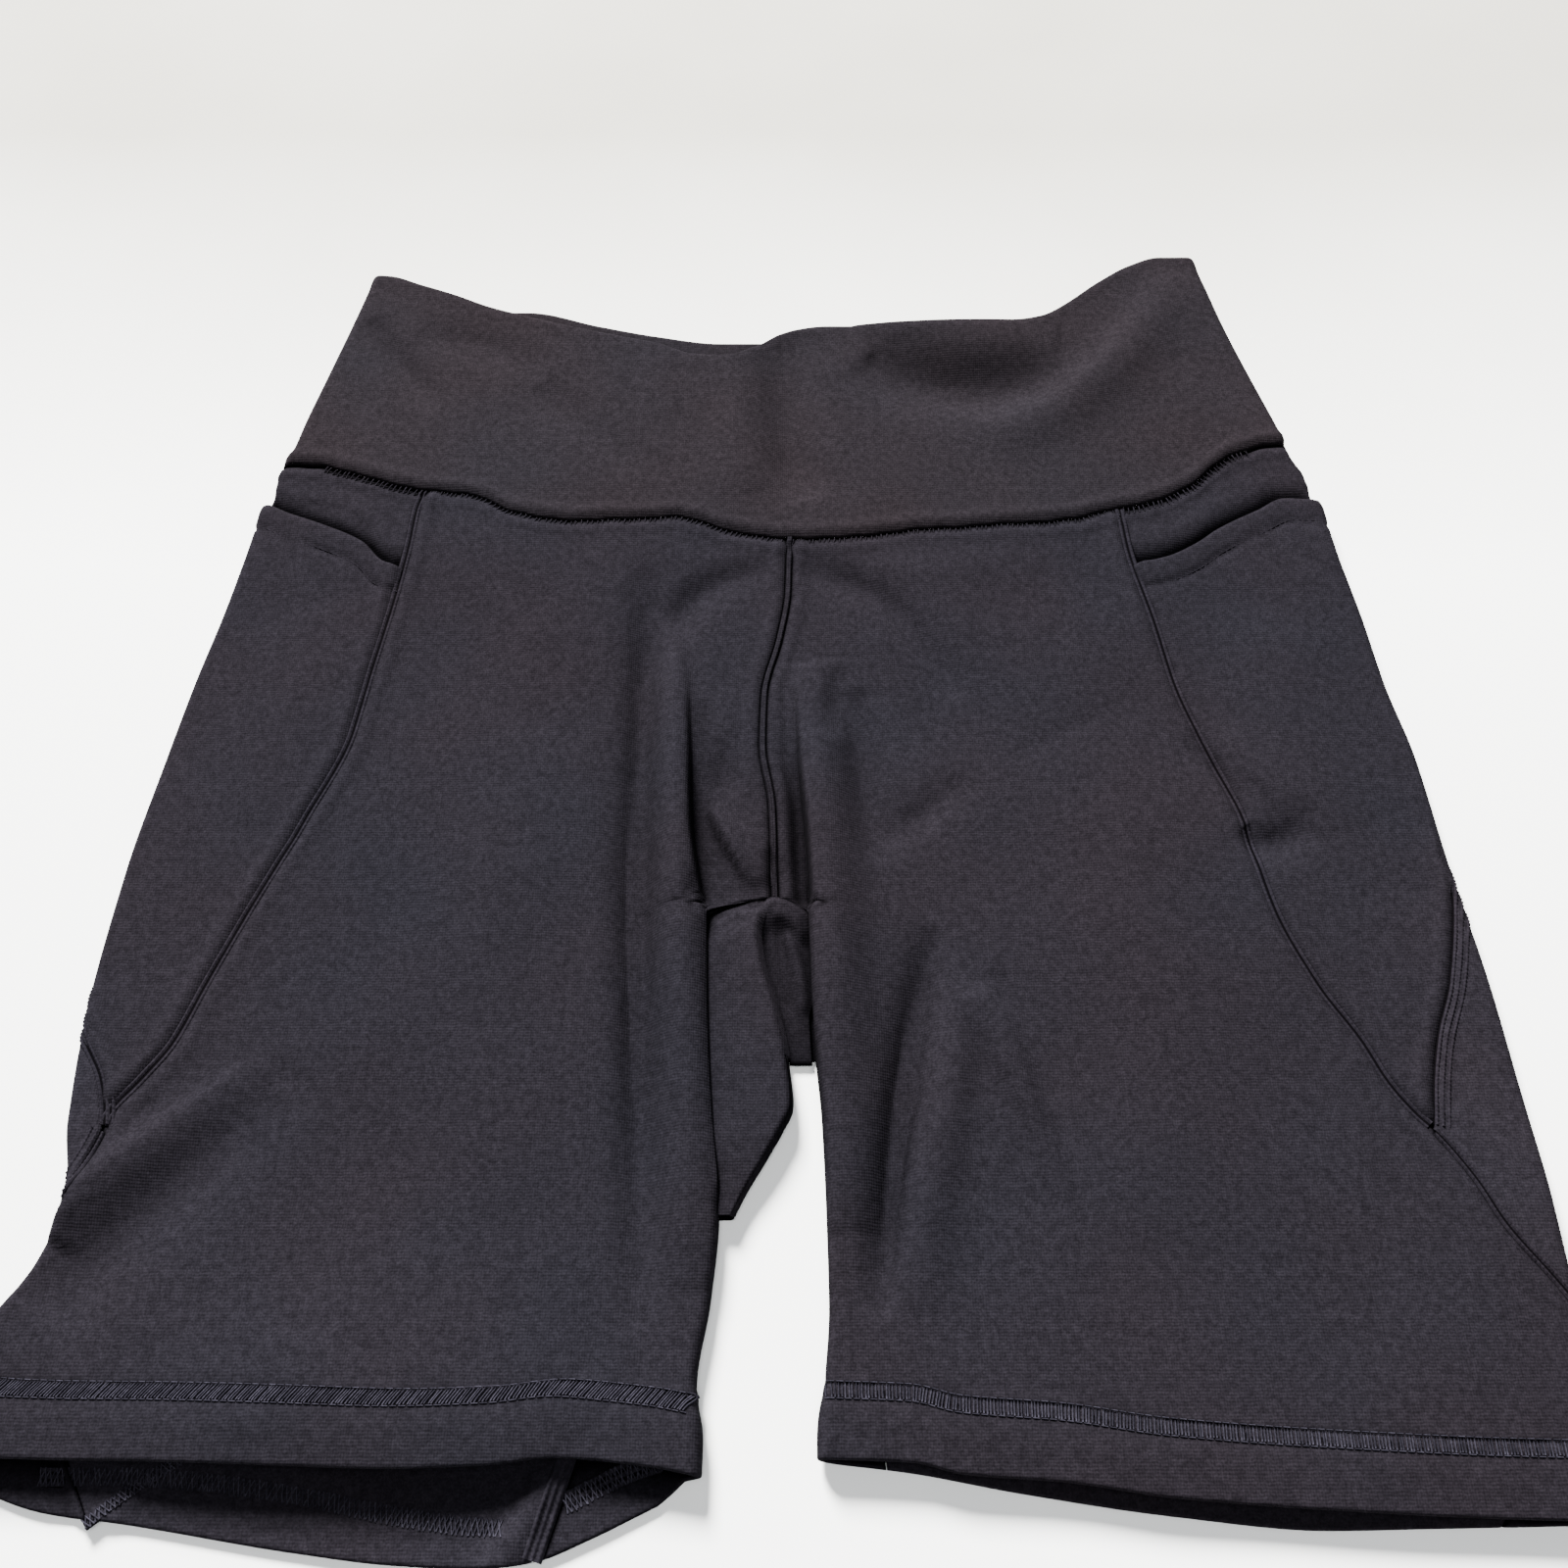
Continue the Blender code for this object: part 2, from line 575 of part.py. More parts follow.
def pocket(side, collection):
    """Inner pocket layer: it tucks under the side panel and is sewn to the band."""
    rows = []
    for share in (0, 0.35, 0.7, 1.0):
        row = []
        for index in range(SIDE_COLUMNS):
            reach, layer, x = 0.0, "front", side * POCKET_MIDDLE_X
            for _ in range(SEARCH_STEPS + 1):
                seam_y = band_seam[layer](x) - 1.5 * SEAM_GAP
                y = (pocket_opening[side](reach) - POCKET_TUCK) * (1 - share) + seam_y * share
                reach = side_panel_reach(side, y, index)
                layer = "front" if reach >= 0 else "back"
                x, z = outer_point(side, reach, y, PANEL_WALL / 2, POCKET_INSET)
            row.append((x, y, z))
        rows.append(row)
    return thick_sheet(node_name("pocket", side), [rows], POCKET_WALL, INNER_KNIT, collection)


BAND_SHARES = (0, 0.2, 0.4, 0.6, 0.8, 1.0)
BAND_JOIN = 9.0           # how far round on the back the waistband's side seams lie


def band_point(column, share):
    """Point of the waistband's front sheet, from its left side seam to its right one."""
    x, layer = 0.0, "front"
    for _ in range(SEARCH_STEPS):
        y = band_y(share, x, layer)
        width = outer_fold[RIGHT](y) - outer_fold[LEFT](y) + 2 * (FOLD_ARC - FOLD_DEPTH)
        start, end = -BAND_JOIN, width + BAND_JOIN
        reach = spread(start, end, [0.0, width], BAND_COLUMNS)[column]
        side, distance = (LEFT, reach) if reach < width / 2 else (RIGHT, width - reach)
        x, z = outer_point(side, distance, y, BAND_WALL / 2)
        layer = "front" if distance >= 0 else "back"
        if distance <= -FOLD_ARC:
            z = BAND_WALL / 2
    return x, y, z


def waistband_front(collection):
    rows = [[band_point(column, share) for column in range(BAND_COLUMNS)] for share in BAND_SHARES]
    return thick_sheet("waistband_front", [rows], BAND_WALL, BAND_KNIT, collection)


def waistband_back(collection):
    rows = []
    for share in BAND_SHARES:
        row = []
        for across in np.linspace(0, 1, BAND_BACK_COLUMNS):
            x = 0.0
            for _ in range(SEARCH_STEPS):
                y = band_y(share, x, "back")
                inset = BAND_JOIN - FOLD_ARC + FOLD_DEPTH + SEAM_GAP
                x = (outer_fold[LEFT](y) + inset) * (1 - across) + (outer_fold[RIGHT](y) - inset) * across
            row.append((x, y, BAND_WALL / 2))
        rows.append(row)
    return thick_sheet("waistband_back", [rows], BAND_WALL, BAND_KNIT, collection)


def gusset(collection):
    """Crotch piece: its front under the fronts' folds, the left leg's tongue, the fork and its back point."""
    front = gusset_front()
    return thick_sheet("gusset", [front, gusset_tongue(front[0]), gusset_back(front[0])], POCKET_WALL, KNIT,
                       collection)


GUSSET_LEFT_COLUMNS = 5
GUSSET_RIGHT_COLUMNS = 5


def tongue_left(y):
    """Left edge of the tongue: tucked under the left front's fold, and beside it at the tip."""
    freed = smooth_step((TONGUE_TIP_Y - y) / FOLD_REST_BLEND)
    return inner_fold[LEFT](y) - GUSSET_TUCK + TONGUE_TIP_SHIFT * freed


def gusset_right(y):
    freed = smooth_step((FORK_SIDE_Y - y) / FOLD_REST_BLEND)
    return inner_fold[RIGHT](y) + GUSSET_TUCK - FORK_SIDE_SHIFT * freed


def tongue_height(y):
    return TONGUE_HEIGHT - TONGUE_DROP * smooth_step((TONGUE_DROP_Y - y) / 20)


def corner_share(x):
    """Place on the gusset's front edge, from its point (0) to a corner under a front's fold (1)."""
    centre = centre_front(CROTCH)
    fold = inner_fold[LEFT if x < centre else RIGHT](CROTCH - GUSSET_CORNER_DROP)
    return min((x - centre) / (fold - centre), 1.0)


def gusset_front():
    """Rows from the fork up to the crotch seam; columns over the tongue and across the hollow."""
    rows = []
    for share in (0, 0.25, 0.5, 0.72, 0.88, 1.0):
        row = []
        for index in range(GUSSET_LEFT_COLUMNS + GUSSET_RIGHT_COLUMNS):
            y = FORK
            for _ in range(SEARCH_STEPS):
                edge = tongue_edge(y)
                if index < GUSSET_LEFT_COLUMNS:
                    across = index / (GUSSET_LEFT_COLUMNS - 1)
                    x = tongue_left(y) * (1 - across) + (edge - FOLD_DEPTH * 0.4) * across
                else:
                    across = (index - GUSSET_LEFT_COLUMNS) / (GUSSET_RIGHT_COLUMNS - 1)
                    x = (edge + 1.0) * (1 - across) + gusset_right(y) * across
                seam_y = CROTCH - SEAM_GAP * 1.5 - GUSSET_CORNER_DROP * corner_share(x)
                y = (FORK + 0.2) * (1 - share) + seam_y * share
            sunk = smooth_step((share - 0.75) / 0.25)
            on_tongue = index < GUSSET_LEFT_COLUMNS
            low = tongue_height(y) if on_tongue else HOLLOW_HEIGHT
            z = low * (1 - sunk) + min(valley_floor(CROTCH), low + 2.5) * sunk
            row.append((x, y, z))
        rows.append(row)
    return rows


def gusset_tongue(fork_row):
    """The tongue below the fork, with its edge turned down and a strip on the back layer."""
    rows = []
    low = POCKET_WALL / 2
    for y in [FORK + 0.2] + [y for y in reversed(BODY_YS) if TONGUE_END < y < FORK] + [TONGUE_END + SEAM_GAP]:
        edge = tongue_edge(y)
        top = tongue_height(y)
        row = []
        for index in range(GUSSET_LEFT_COLUMNS):
            across = index / (GUSSET_LEFT_COLUMNS - 1)
            x = tongue_left(y) * (1 - across) + (edge - FOLD_DEPTH * 0.4) * across
            row.append((x, y, top))
        turns = ((0.75, 0.7), (0.97, 0.1), (0.7, -0.75))
        for out, up in turns:
            x = edge - FOLD_DEPTH * (1 - out)
            row.append((x, y, (top + low) / 2 + up * (top - low) / 2))
        back_edge = inseam[LEFT](y) + SEAM_GAP / 2
        for back_share in (0.25, 0.62, 1.0):
            x = (edge - FOLD_DEPTH) * (1 - back_share) + min(back_edge, edge - FOLD_DEPTH - 1.5) * back_share
            row.append((x, y, low))
        rows.append(row)
    rows[0][:GUSSET_LEFT_COLUMNS] = fork_row[:GUSSET_LEFT_COLUMNS]
    return rows


def gusset_back(fork_row):
    """The hollow's cloth turned round the fork and up the back layer to the gusset's back point."""
    low = POCKET_WALL / 2
    rows = [fork_row[GUSSET_LEFT_COLUMNS:]]
    for drop, down in ((0.9, 0.5), (0.9, -0.6), (-0.4, -1.0)):
        middle = (HOLLOW_HEIGHT + low) / 2
        half = (HOLLOW_HEIGHT - low) / 2
        rows.append([(x, FORK - drop + 0.2, middle + half * down) for x, _, _ in rows[0]])
    for y in [FORK + 1.5] + [y for y in BODY_YS if FORK < y < GUSSET_BACK_POINT - 4] + [GUSSET_BACK_POINT - 4]:
        left, right = inseam[LEFT](y) + SEAM_GAP / 2, inseam[RIGHT](y) - SEAM_GAP / 2
        rows.append([(left * (1 - t) + right * t, y, low) for t in np.linspace(0, 1, GUSSET_RIGHT_COLUMNS)])
    return rows


def main():
    clear_scene()
    shorts = bpy.data.collections.new("cycling_shorts")
    bpy.context.scene.collection.children.link(shorts)
    waistband_front(shorts)
    waistband_back(shorts)
    for side in (LEFT, RIGHT):
        front_panel(side, shorts)
        side_panel(side, shorts)
        pocket(side, shorts)
        back_panel(side, shorts)
    gusset(shorts)


main()
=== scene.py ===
"""Looks of the cycling shorts that lie flat: finer cloth shells, seams, stitching, light and camera.

Sizes and tables are in millimetres, in the numbers of the part's own tables. ORIGIN moves them into the frame.
A place on the cloth is given by its side, its reach (distance along the cloth from the outer fold, below 0 on the
back layer) and its y.
"""
import bpy
import numpy as np
from math import pi, radians
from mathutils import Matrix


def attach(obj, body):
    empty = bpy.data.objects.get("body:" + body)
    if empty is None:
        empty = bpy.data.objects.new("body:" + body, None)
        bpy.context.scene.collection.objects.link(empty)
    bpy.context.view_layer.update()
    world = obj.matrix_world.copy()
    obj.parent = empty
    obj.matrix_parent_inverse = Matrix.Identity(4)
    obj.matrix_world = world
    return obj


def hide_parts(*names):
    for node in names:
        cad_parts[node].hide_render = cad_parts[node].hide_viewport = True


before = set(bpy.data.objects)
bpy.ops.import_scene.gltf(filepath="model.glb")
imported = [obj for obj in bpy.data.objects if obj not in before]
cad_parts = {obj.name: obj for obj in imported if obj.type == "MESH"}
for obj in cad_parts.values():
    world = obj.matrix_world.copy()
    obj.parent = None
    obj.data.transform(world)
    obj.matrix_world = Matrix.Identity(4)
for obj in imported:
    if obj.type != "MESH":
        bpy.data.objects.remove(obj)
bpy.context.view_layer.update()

MM = 0.001
ORIGIN = np.array((0.4, -2.0, 0.0))
LEFT, RIGHT = -1, 1
random = np.random.default_rng(7)

# Cloth and seams, as in the part
PANEL_WALL, HEM_WALL, BAND_WALL, POCKET_WALL = 1.2, 2.2, 2.0, 1.0
SEAM_GAP, HEM_DEPTH = 0.34, 21.0
FOLD_DEPTH, FOLD_ARC, POCKET_INSET = 2.4, 3.6, 1.9
LEG_LEVEL, HIP_LEVEL, CROTCH, FORK, TONGUE_END, V_TIP = -160.0, 40.0, -54.0, -110.0, -160.0, -133.0
CORNER_DROP, CORNER_CURVE, GUSSET_BACK_POINT, CENTRE_BACK_X = 6.0, 1.6, -44.0, 7.5
FOLD_CURL, STEP_WIDTH, TONGUE_HEIGHT, HOLLOW_HEIGHT = 1.3, 2.3, 7.6, 1.7
HEM_LEVEL, BAND_JOIN, POCKET_TUCK, FRONT_LEAST = 0.3, 9.0, 16.0, 2.4

# Columns: y, x of the left outer fold, x of the right outer fold
OUTER_FOLDS = (
    (256, -160, 184), (237, -163, 187), (210, -168, 192), (180, -174, 199), (155, -179, 205),
    (138, -182, 209), (128, -186, 213), (117, -187, 215), (108, -189.5, 217), (88, -192, 219),
    (60, -196, 223), (30, -201, 226), (0, -205, 231), (-45, -210, 234), (-90, -212, 238),
    (-130, -210, 240), (-155, -205, 241), (-172, -209, 241), (-195, -222.5, 241), (-222, -240, 241),
    (-256, -241, 239),
)
# Columns: y, x at the left, x at the right
PANEL_INNER_FOLDS = (
    (30, -23, 14), (0, -21.5, 15), (-30, -20, 17.5), (-60, -15.5, 19), (-90, -14.5, 20),
    (-110, -13.5, 21), (-130, -12, 22.7), (-160, -9.4, 23.8), (-185, -11.5, 24.2), (-207, -14.8, 22.6),
    (-222, -13.5, 21), (-256, -13, 20),
)
# Columns: y, x
TONGUE_EDGE = ((-54, 6), (-66, 2), (-80, 4), (-94, 8), (-108, 11), (-126, 13), (-133, 10), (-142, 5),
               (-152, -1), (-160, -5), (-166, -8))
CENTRE_FRONT = ((110, 13), (70, 12), (50, 9), (25, 3.5), (5, 3), (-20, 6.5), (-54, 7.5))
# Columns: y, reach at the left, reach at the right
FRONT_SIDE_SEAM = (
    (135, 58, 78), (90, 62, 80), (50, 63, 78), (10, 64, 75), (-25, 57, 67), (-60, 46, 64), (-85, 38, 57),
    (-105, 31, 47), (-118, 22, 42), (-128, 14, 36), (-134, 12, 31), (-148, 4, 23), (-162, -5, 17),
    (-180, -18, 5), (-205, -38, -10), (-256, -70, -42),
)
BACK_SIDE_SEAM = (
    (135, -34, -36), (50, -26, -22), (0, -19, -8), (-50, -11, 2), (-86, -4, 14), (-103, 1, 22),
    (-118, 9, 27), (-128, 11.5, 29.5), (-134, 12, 31),
)
# Columns: y, left x, right x
INSEAMS = (
    (-44, 7.5, 7.5), (-110, -2, 27), (-138, -2, 29), (-160, -15, 31), (-185, -30, 34), (-210, -44, 37),
    (-256, -59, 42),
)
# Edges that run across. Columns: x, y
TOP_FRONT = ((-170, 238), (-156, 237), (-143, 232), (-128, 226), (-113, 219), (-96, 213), (-74, 206),
             (-41, 197), (-27, 191), (-12, 190), (-2, 195), (10, 203.5), (28, 207), (60, 206.5), (104, 208),
             (117, 212), (128, 220), (144, 234), (158, 244), (171, 249), (186, 249))
TOP_BACK = ((-170, 238), (-156, 237), (-143, 232), (-113, 221), (-97, 221), (-67, 213), (-42, 207),
            (-16, 203), (10, 203), (60, 204), (104, 207), (128, 220), (158, 243), (171, 249), (186, 250))
BAND_SEAM_FRONT = ((-186, 131), (-170, 130.5), (-158, 127), (-141, 121), (-124, 117.5), (-107, 115), (-94, 107.5),
                   (-82, 104), (-67, 103), (-50, 104), (-31, 105), (-21, 102.5), (-7, 97.5), (10, 94.5),
                   (30, 94.5), (50, 97), (67, 99), (96, 101.5), (122, 104), (134, 108), (152, 112), (168, 121),
                   (178, 130), (188, 137), (203, 142), (212, 142))
BAND_SEAM_BACK_LOW, BAND_SEAM_BACK_RISE, BACK_HALF_WIDTH = (10, 112), {-1: 19, 1: 30}, 199
LEFT_HEM_FRONT = ((-244, -222), (-205, -227), (-163, -228), (-132, -229), (-97, -230), (-71, -229), (-53, -227),
                  (-28, -229), (-11, -232))
LEFT_HEM_BACK = ((-244, -222), (-221, -231), (-194, -240), (-170, -243), (-123, -250), (-96, -253),
                 (-72, -254), (-56, -252), (-43, -247), (-30, -241), (-11, -232))
RIGHT_HEM_FRONT = ((19, -227), (46, -228), (60, -231), (88, -233), (118, -237), (180, -241), (204, -242),
                   (243, -243))
RIGHT_HEM_BACK = ((19, -227), (46, -230), (75, -235), (118, -241), (160, -244.5), (188, -244), (243, -243))
# Pocket openings. Columns: reach, y at the left, y at the right
POCKET_OPENING = ((-40, 111, 112), (0, 111, 113), (14, 106, 114), (27, 101, 108), (44, 93, 99), (54, 84, 92),
                  (66, 80, 86), (82, 78, 82))
# Middle of the front layer above the table. Columns: y, at the left, at the right
FRONT_HEIGHT = (
    (256, 6.0, 6.0), (200, 6.5, 6.5), (135, 8.0, 8.0), (100, 8.2, 8.2), (60, 6.8, 6.8), (0, 6.0, 6.0),
    (-60, 6.0, 6.0), (-120, 6.0, 5.8), (-180, 6.8, 6.0), (-222, 8.0, 6.8), (-256, 8.0, 6.8),
)
# Folds of the front layer, first those of the part. Columns: start, middle, end, half width, height, lean.
# A trough is below 0. A lean above 0 makes the fold steeper on its left as one goes from start to end.
FOLDS = (
    ((-29, 62), (-24, -50), (-14, -182), 9, 7.5, 0.0),
    ((-39, 84), (-38, -50), (-30, -195), 6.5, -5.0, 0.0),
    ((20, 40), (25, -60), (30, -165), 11, 6.5, 0.0),
    ((60, -66), (48, -126), (38, -190), 5.0, -5.6, 0.3),
    ((71, -84), (60, -130), (50, -188), 6.5, 2.4, 0.0),
    ((74, -86), (83, -116), (92, -155), 6, 2.8, 0.2),
    ((-212, -165), (-196, -148), (-150, -112), 9, 3.6, 0.4),
    ((-205, -190), (-185, -165), (-140, -112), 12, -2.8, 0.0),
    ((-170, -238), (-115, -215), (-60, -238), 34, 4.0, 0.0),
    ((11, 204), (12, 150), (19, 112), 10, -4.2, 0.0),
    ((-9, 200), (-7, 150), (-1, 116), 9, 1.6, 0.0),
    ((40, 212), (82, 202), (124, 196), 17, 4.6, 0.0),
    ((44, 190), (80, 172), (122, 182), 14, -5.2, 0.0),
    ((88, 148), (135, 176), (178, 240), 11, 4.2, 0.2),
    ((-160, 212), (-149, 190), (-126, 162), 6, -2.4, 0.0),
    ((-100, 105), (-70, 60), (-62, -10), 24, 1.4, 0.0),
    ((40, 80), (80, 50), (110, 10), 24, 1.6, 0.0),
    # smaller creases and soft shades
    ((-4, -20), (-13, -42), (-24, -64), 4.0, -2.0, 0.0),
    ((70, -100), (84, -132), (91, -155), 3.2, -1.3, 0.4),
    ((78, -80), (81, -88), (80, -95), 3.0, -1.1, 0.0),
    ((60, -74), (67, -88), (70, -98), 4.0, 0.8, 0.0),
    ((35, 28), (37, -2), (43, -42), 6.5, -3.0, 0.0),
    ((44, -33), (57, -24), (75, -8), 5.5, -1.7, 0.0),
    ((166, -28), (175, -34), (186, -27), 6.5, -3.2, 0.0),
    ((150, 6), (163, -10), (174, -28), 6, -1.5, 0.0),
    ((166, 10), (177, -8), (188, -24), 6, 1.4, 0.0),
    ((-140, 204), (-115, 196), (-86, 182), 9, -1.8, 0.0),
    ((-88, 174), (-68, 152), (-46, 126), 8, -1.6, 0.0),
    ((16, 80), (48, 64), (72, 22), 6.5, -2.6, 0.0),
    ((4, 80), (-24, 66), (-37, 28), 6.5, -2.6, 0.0),
    ((-25, 62), (-24, 44), (-20, 24), 5.5, -2.4, 0.0),
    ((30, 38), (28, 22), (26, 6), 5, -2.2, 0.0),
    ((47, 206), (48, 195), (48, 182), 2.4, -0.9, 0.0),
    ((-55, 5), (-47, -30), (-44, -90), 6, -0.9, 0.0),
    ((10, 140), (22, 128), (40, 112), 8, -0.7, 0.0),
    ((-170, 60), (-160, 20), (-165, -30), 20, 1.3, 0.0),
    ((195, 60), (190, 20), (200, -30), 20, 1.3, 0.0),
    ((-72, 10), (-86, -60), (-72, -160), 22, 1.8, 0.0),
    ((110, 10), (130, -60), (122, -170), 24, 1.8, 0.0),
    ((-30, 70), (-5, 84), (4, 88), 7, 0.8, 0.0),
    ((20, 86), (60, 80), (100, 84), 8, 0.6, 0.0),
)
# Columns: y, how far the valley of the crotch is sunk (0 to 1), height of its floor
VALLEY = ((40, 0.0, 6.0), (5, 0.5, 5.0), (-25, 0.9, 4.4), (-54, 1.0, 4.2))
VALLEY_FALL = 2.6  # how much lower the floor is at its right side
# Folds of the valley's floor, as in FOLDS
VALLEY_FOLDS = (
    ((-15, -20), (-7, -36), (1, -51), 3.4, 4.0, -0.5),
    ((-14, 26), (-10, 16), (-12, 4), 4.5, 2.4, 0.0),
    ((-14, 0), (-10, -7), (-12, -16), 4.0, -2.0, 0.0),
    ((4, -36), (8, -45), (8, -55), 3.2, -2.2, 0.0),
)


class Curve:
    """Smooth line through a table's rows that never overshoots them."""

    def __init__(self, rows, column=1):
        rows = sorted(rows)
        self.at = np.array([row[0] for row in rows], float)
        self.value = np.array([row[column] for row in rows], float)
        slope = np.diff(self.value) / np.diff(self.at)
        before, after = slope[:-1], slope[1:]
        same = before * after > 0
        self.turn = np.zeros(len(rows))
        self.turn[0], self.turn[-1] = slope[0], slope[-1]
        self.turn[1:-1] = np.where(same, 2 * before * after / np.where(same, before + after, 1.0), 0.0)

    def __call__(self, place):
        place = np.clip(place, self.at[0], self.at[-1])
        i = np.clip(np.searchsorted(self.at, place) - 1, 0, len(self.at) - 2)
        step = self.at[i + 1] - self.at[i]
        t = (place - self.at[i]) / step
        return (self.value[i] * (2 * t**3 - 3 * t**2 + 1) + self.value[i + 1] * (3 * t**2 - 2 * t**3)
                + step * self.turn[i] * (t**3 - 2 * t**2 + t) + step * self.turn[i + 1] * (t**3 - t**2))


def both_sides(rows):
    return {LEFT: Curve(rows, 1), RIGHT: Curve(rows, 2)}


outer_fold, inner_fold = both_sides(OUTER_FOLDS), both_sides(PANEL_INNER_FOLDS)
front_side_seam, back_side_seam = both_sides(FRONT_SIDE_SEAM), both_sides(BACK_SIDE_SEAM)
inseam, base_height, pocket_opening = both_sides(INSEAMS), both_sides(FRONT_HEIGHT), both_sides(POCKET_OPENING)
tongue_edge, centre_front = Curve(TONGUE_EDGE), Curve(CENTRE_FRONT)
valley_depth, valley_floor = Curve(VALLEY, 1), Curve(VALLEY, 2)
top_edge = {"front": Curve(TOP_FRONT), "back": Curve(TOP_BACK)}
band_curve = Curve(BAND_SEAM_FRONT)
hem_edge = {
    (LEFT, "front"): Curve(LEFT_HEM_FRONT), (LEFT, "back"): Curve(LEFT_HEM_BACK),
    (RIGHT, "front"): Curve(RIGHT_HEM_FRONT), (RIGHT, "back"): Curve(RIGHT_HEM_BACK),
}


def front_band_seam(x):
    return band_curve(x) + 0.25 * np.sin(0.21 * x + 1) + 0.18 * np.sin(0.55 * x)


def back_band_seam(x):
    low_x, low_y = BAND_SEAM_BACK_LOW
    rise = np.where(x < low_x, BAND_SEAM_BACK_RISE[LEFT], BAND_SEAM_BACK_RISE[RIGHT])
    return low_y + rise * np.minimum(((x - low_x) / BACK_HALF_WIDTH)**2, 1.0)


band_seam = {"front": front_band_seam, "back": back_band_seam}


def smooth_step(value):
    value = np.clip(value, 0.0, 1.0)
    return value * value * (3 - 2 * value)


def fold_lines(table):
    share = np.linspace(0, 1, 15)[:, None]
    lines = []
    for start, middle, end, half_width, height, lean in table:
        start, middle, end = np.array(start, float), np.array(middle, float), np.array(end, float)
        control = 2 * middle - (start + end) / 2
        points = (1 - share)**2 * start + 2 * share * (1 - share) * control + share**2 * end
        lines.append((points, half_width, height, lean))
    return lines


FOLD_LINES, VALLEY_LINES = fold_lines(FOLDS), fold_lines(VALLEY_FOLDS)


def fold_height(x, y, fold_table=FOLD_LINES):
    """Sum of all folds at the places x, y."""
    total = np.zeros_like(x)
    for points, half_width, height, lean in fold_table:
        low, high = points.min(0) - 3 * half_width, points.max(0) + 3 * half_width
        near = (x > low[0]) & (x < high[0]) & (y > low[1]) & (y < high[1])
        if not near.any():
            continue
        px, py = x[near][:, None], y[near][:, None]
        a, step = points[:-1], np.diff(points, axis=0)
        length2 = (step**2).sum(1)
        t = np.clip(((px - a[:, 0]) * step[:, 0] + (py - a[:, 1]) * step[:, 1]) / length2, 0, 1)
        dx, dy = px - a[:, 0] - t * step[:, 0], py - a[:, 1] - t * step[:, 1]
        distance = np.hypot(dx, dy)
        best = distance.argmin(1)
        pick = np.arange(len(best)), best
        along = (best + t[pick]) / (len(points) - 1)
        turn = step[best, 0] * dy[pick] - step[best, 1] * dx[pick]
        width = half_width * (1 - lean * np.sign(turn) * smooth_step(distance[pick] / half_width * 2))
        total[near] += height * np.sin(pi * np.clip(along, 0.001, 0.999))**0.6 * np.exp(-(distance[pick] / width)**2)
    return total


WAVES = [(random.uniform(0.03, 0.12), random.uniform(0, pi), random.uniform(0, 2 * pi), random.uniform(0.05, 0.12))
         for _ in range(14)]


def unevenness(x, y):
    """Small soft waves over the whole cloth, so that no stretch is perfectly even."""
    total = np.zeros_like(x)
    for pitch, heading, phase, size in WAVES:
        total += size * np.sin(pitch * (x * np.cos(heading) + y * np.sin(heading)) + phase)
    return total


def sheet_height(x, y):
    share = smooth_step((x + 60) / 120)
    low = base_height[LEFT](y) * (1 - share) + base_height[RIGHT](y) * share
    return np.maximum(low + fold_height(x, y), FRONT_LEAST) + unevenness(x, y)


def front_height(x, y):
    height = sheet_height(x, y)
    into_left = smooth_step((x - inner_fold[LEFT](y) + STEP_WIDTH) / STEP_WIDTH)
    into_right = smooth_step((inner_fold[RIGHT](y) + STEP_WIDTH - x) / STEP_WIDTH)
    sunk = np.where(y > 40, 0.0, into_left * into_right * valley_depth(y) * smooth_step((y + 66) / 12))
    fall = VALLEY_FALL * smooth_step((x - centre_front(y) - 1.0) / 8)
    return height * (1 - sunk) + (valley_floor(y) + fold_height(x, y, VALLEY_LINES) - fall) * sunk


def fold_round(reach):
    angle = np.minimum(np.abs(reach) / FOLD_ARC, 1.0) * pi / 2
    return FOLD_DEPTH * (1 - np.cos(angle)) + np.maximum(np.abs(reach) - FOLD_ARC, 0.0), np.sin(angle)


def outer_point(side, reach, y, low, inset=0.0):
    """Place x and height z on the ring, by the reach from the outer fold."""
    depth, rise = fold_round(reach)
    x = outer_fold[side](y) - side * (depth + inset * np.sqrt(np.maximum(1 - rise**2, 0)))
    top = front_height(x, y)
    middle, half = (top + low) / 2, (top - low) / 2 - inset
    return x, middle + np.sign(reach) * rise * half


def reach_of(side, x, y):
    return side * (outer_fold[side](y) - x) - FOLD_DEPTH + FOLD_ARC


def inner_reach(side, y):
    """Reach of the inner fold's outline."""
    return reach_of(side, inner_fold[side](y), y) + FOLD_ARC - FOLD_DEPTH


def resting_level(side, y):
    climb, start = (7.2, TONGUE_END) if side == LEFT else (5.0, FORK)
    return PANEL_WALL / 2 + climb * smooth_step((y - start) / 12)


def back_wall(side, x, y):
    """Full wall of the back layer, thicker over the turned hem."""
    return np.where(y < hem_edge[side, "back"](x) + HEM_DEPTH, HEM_WALL, PANEL_WALL)


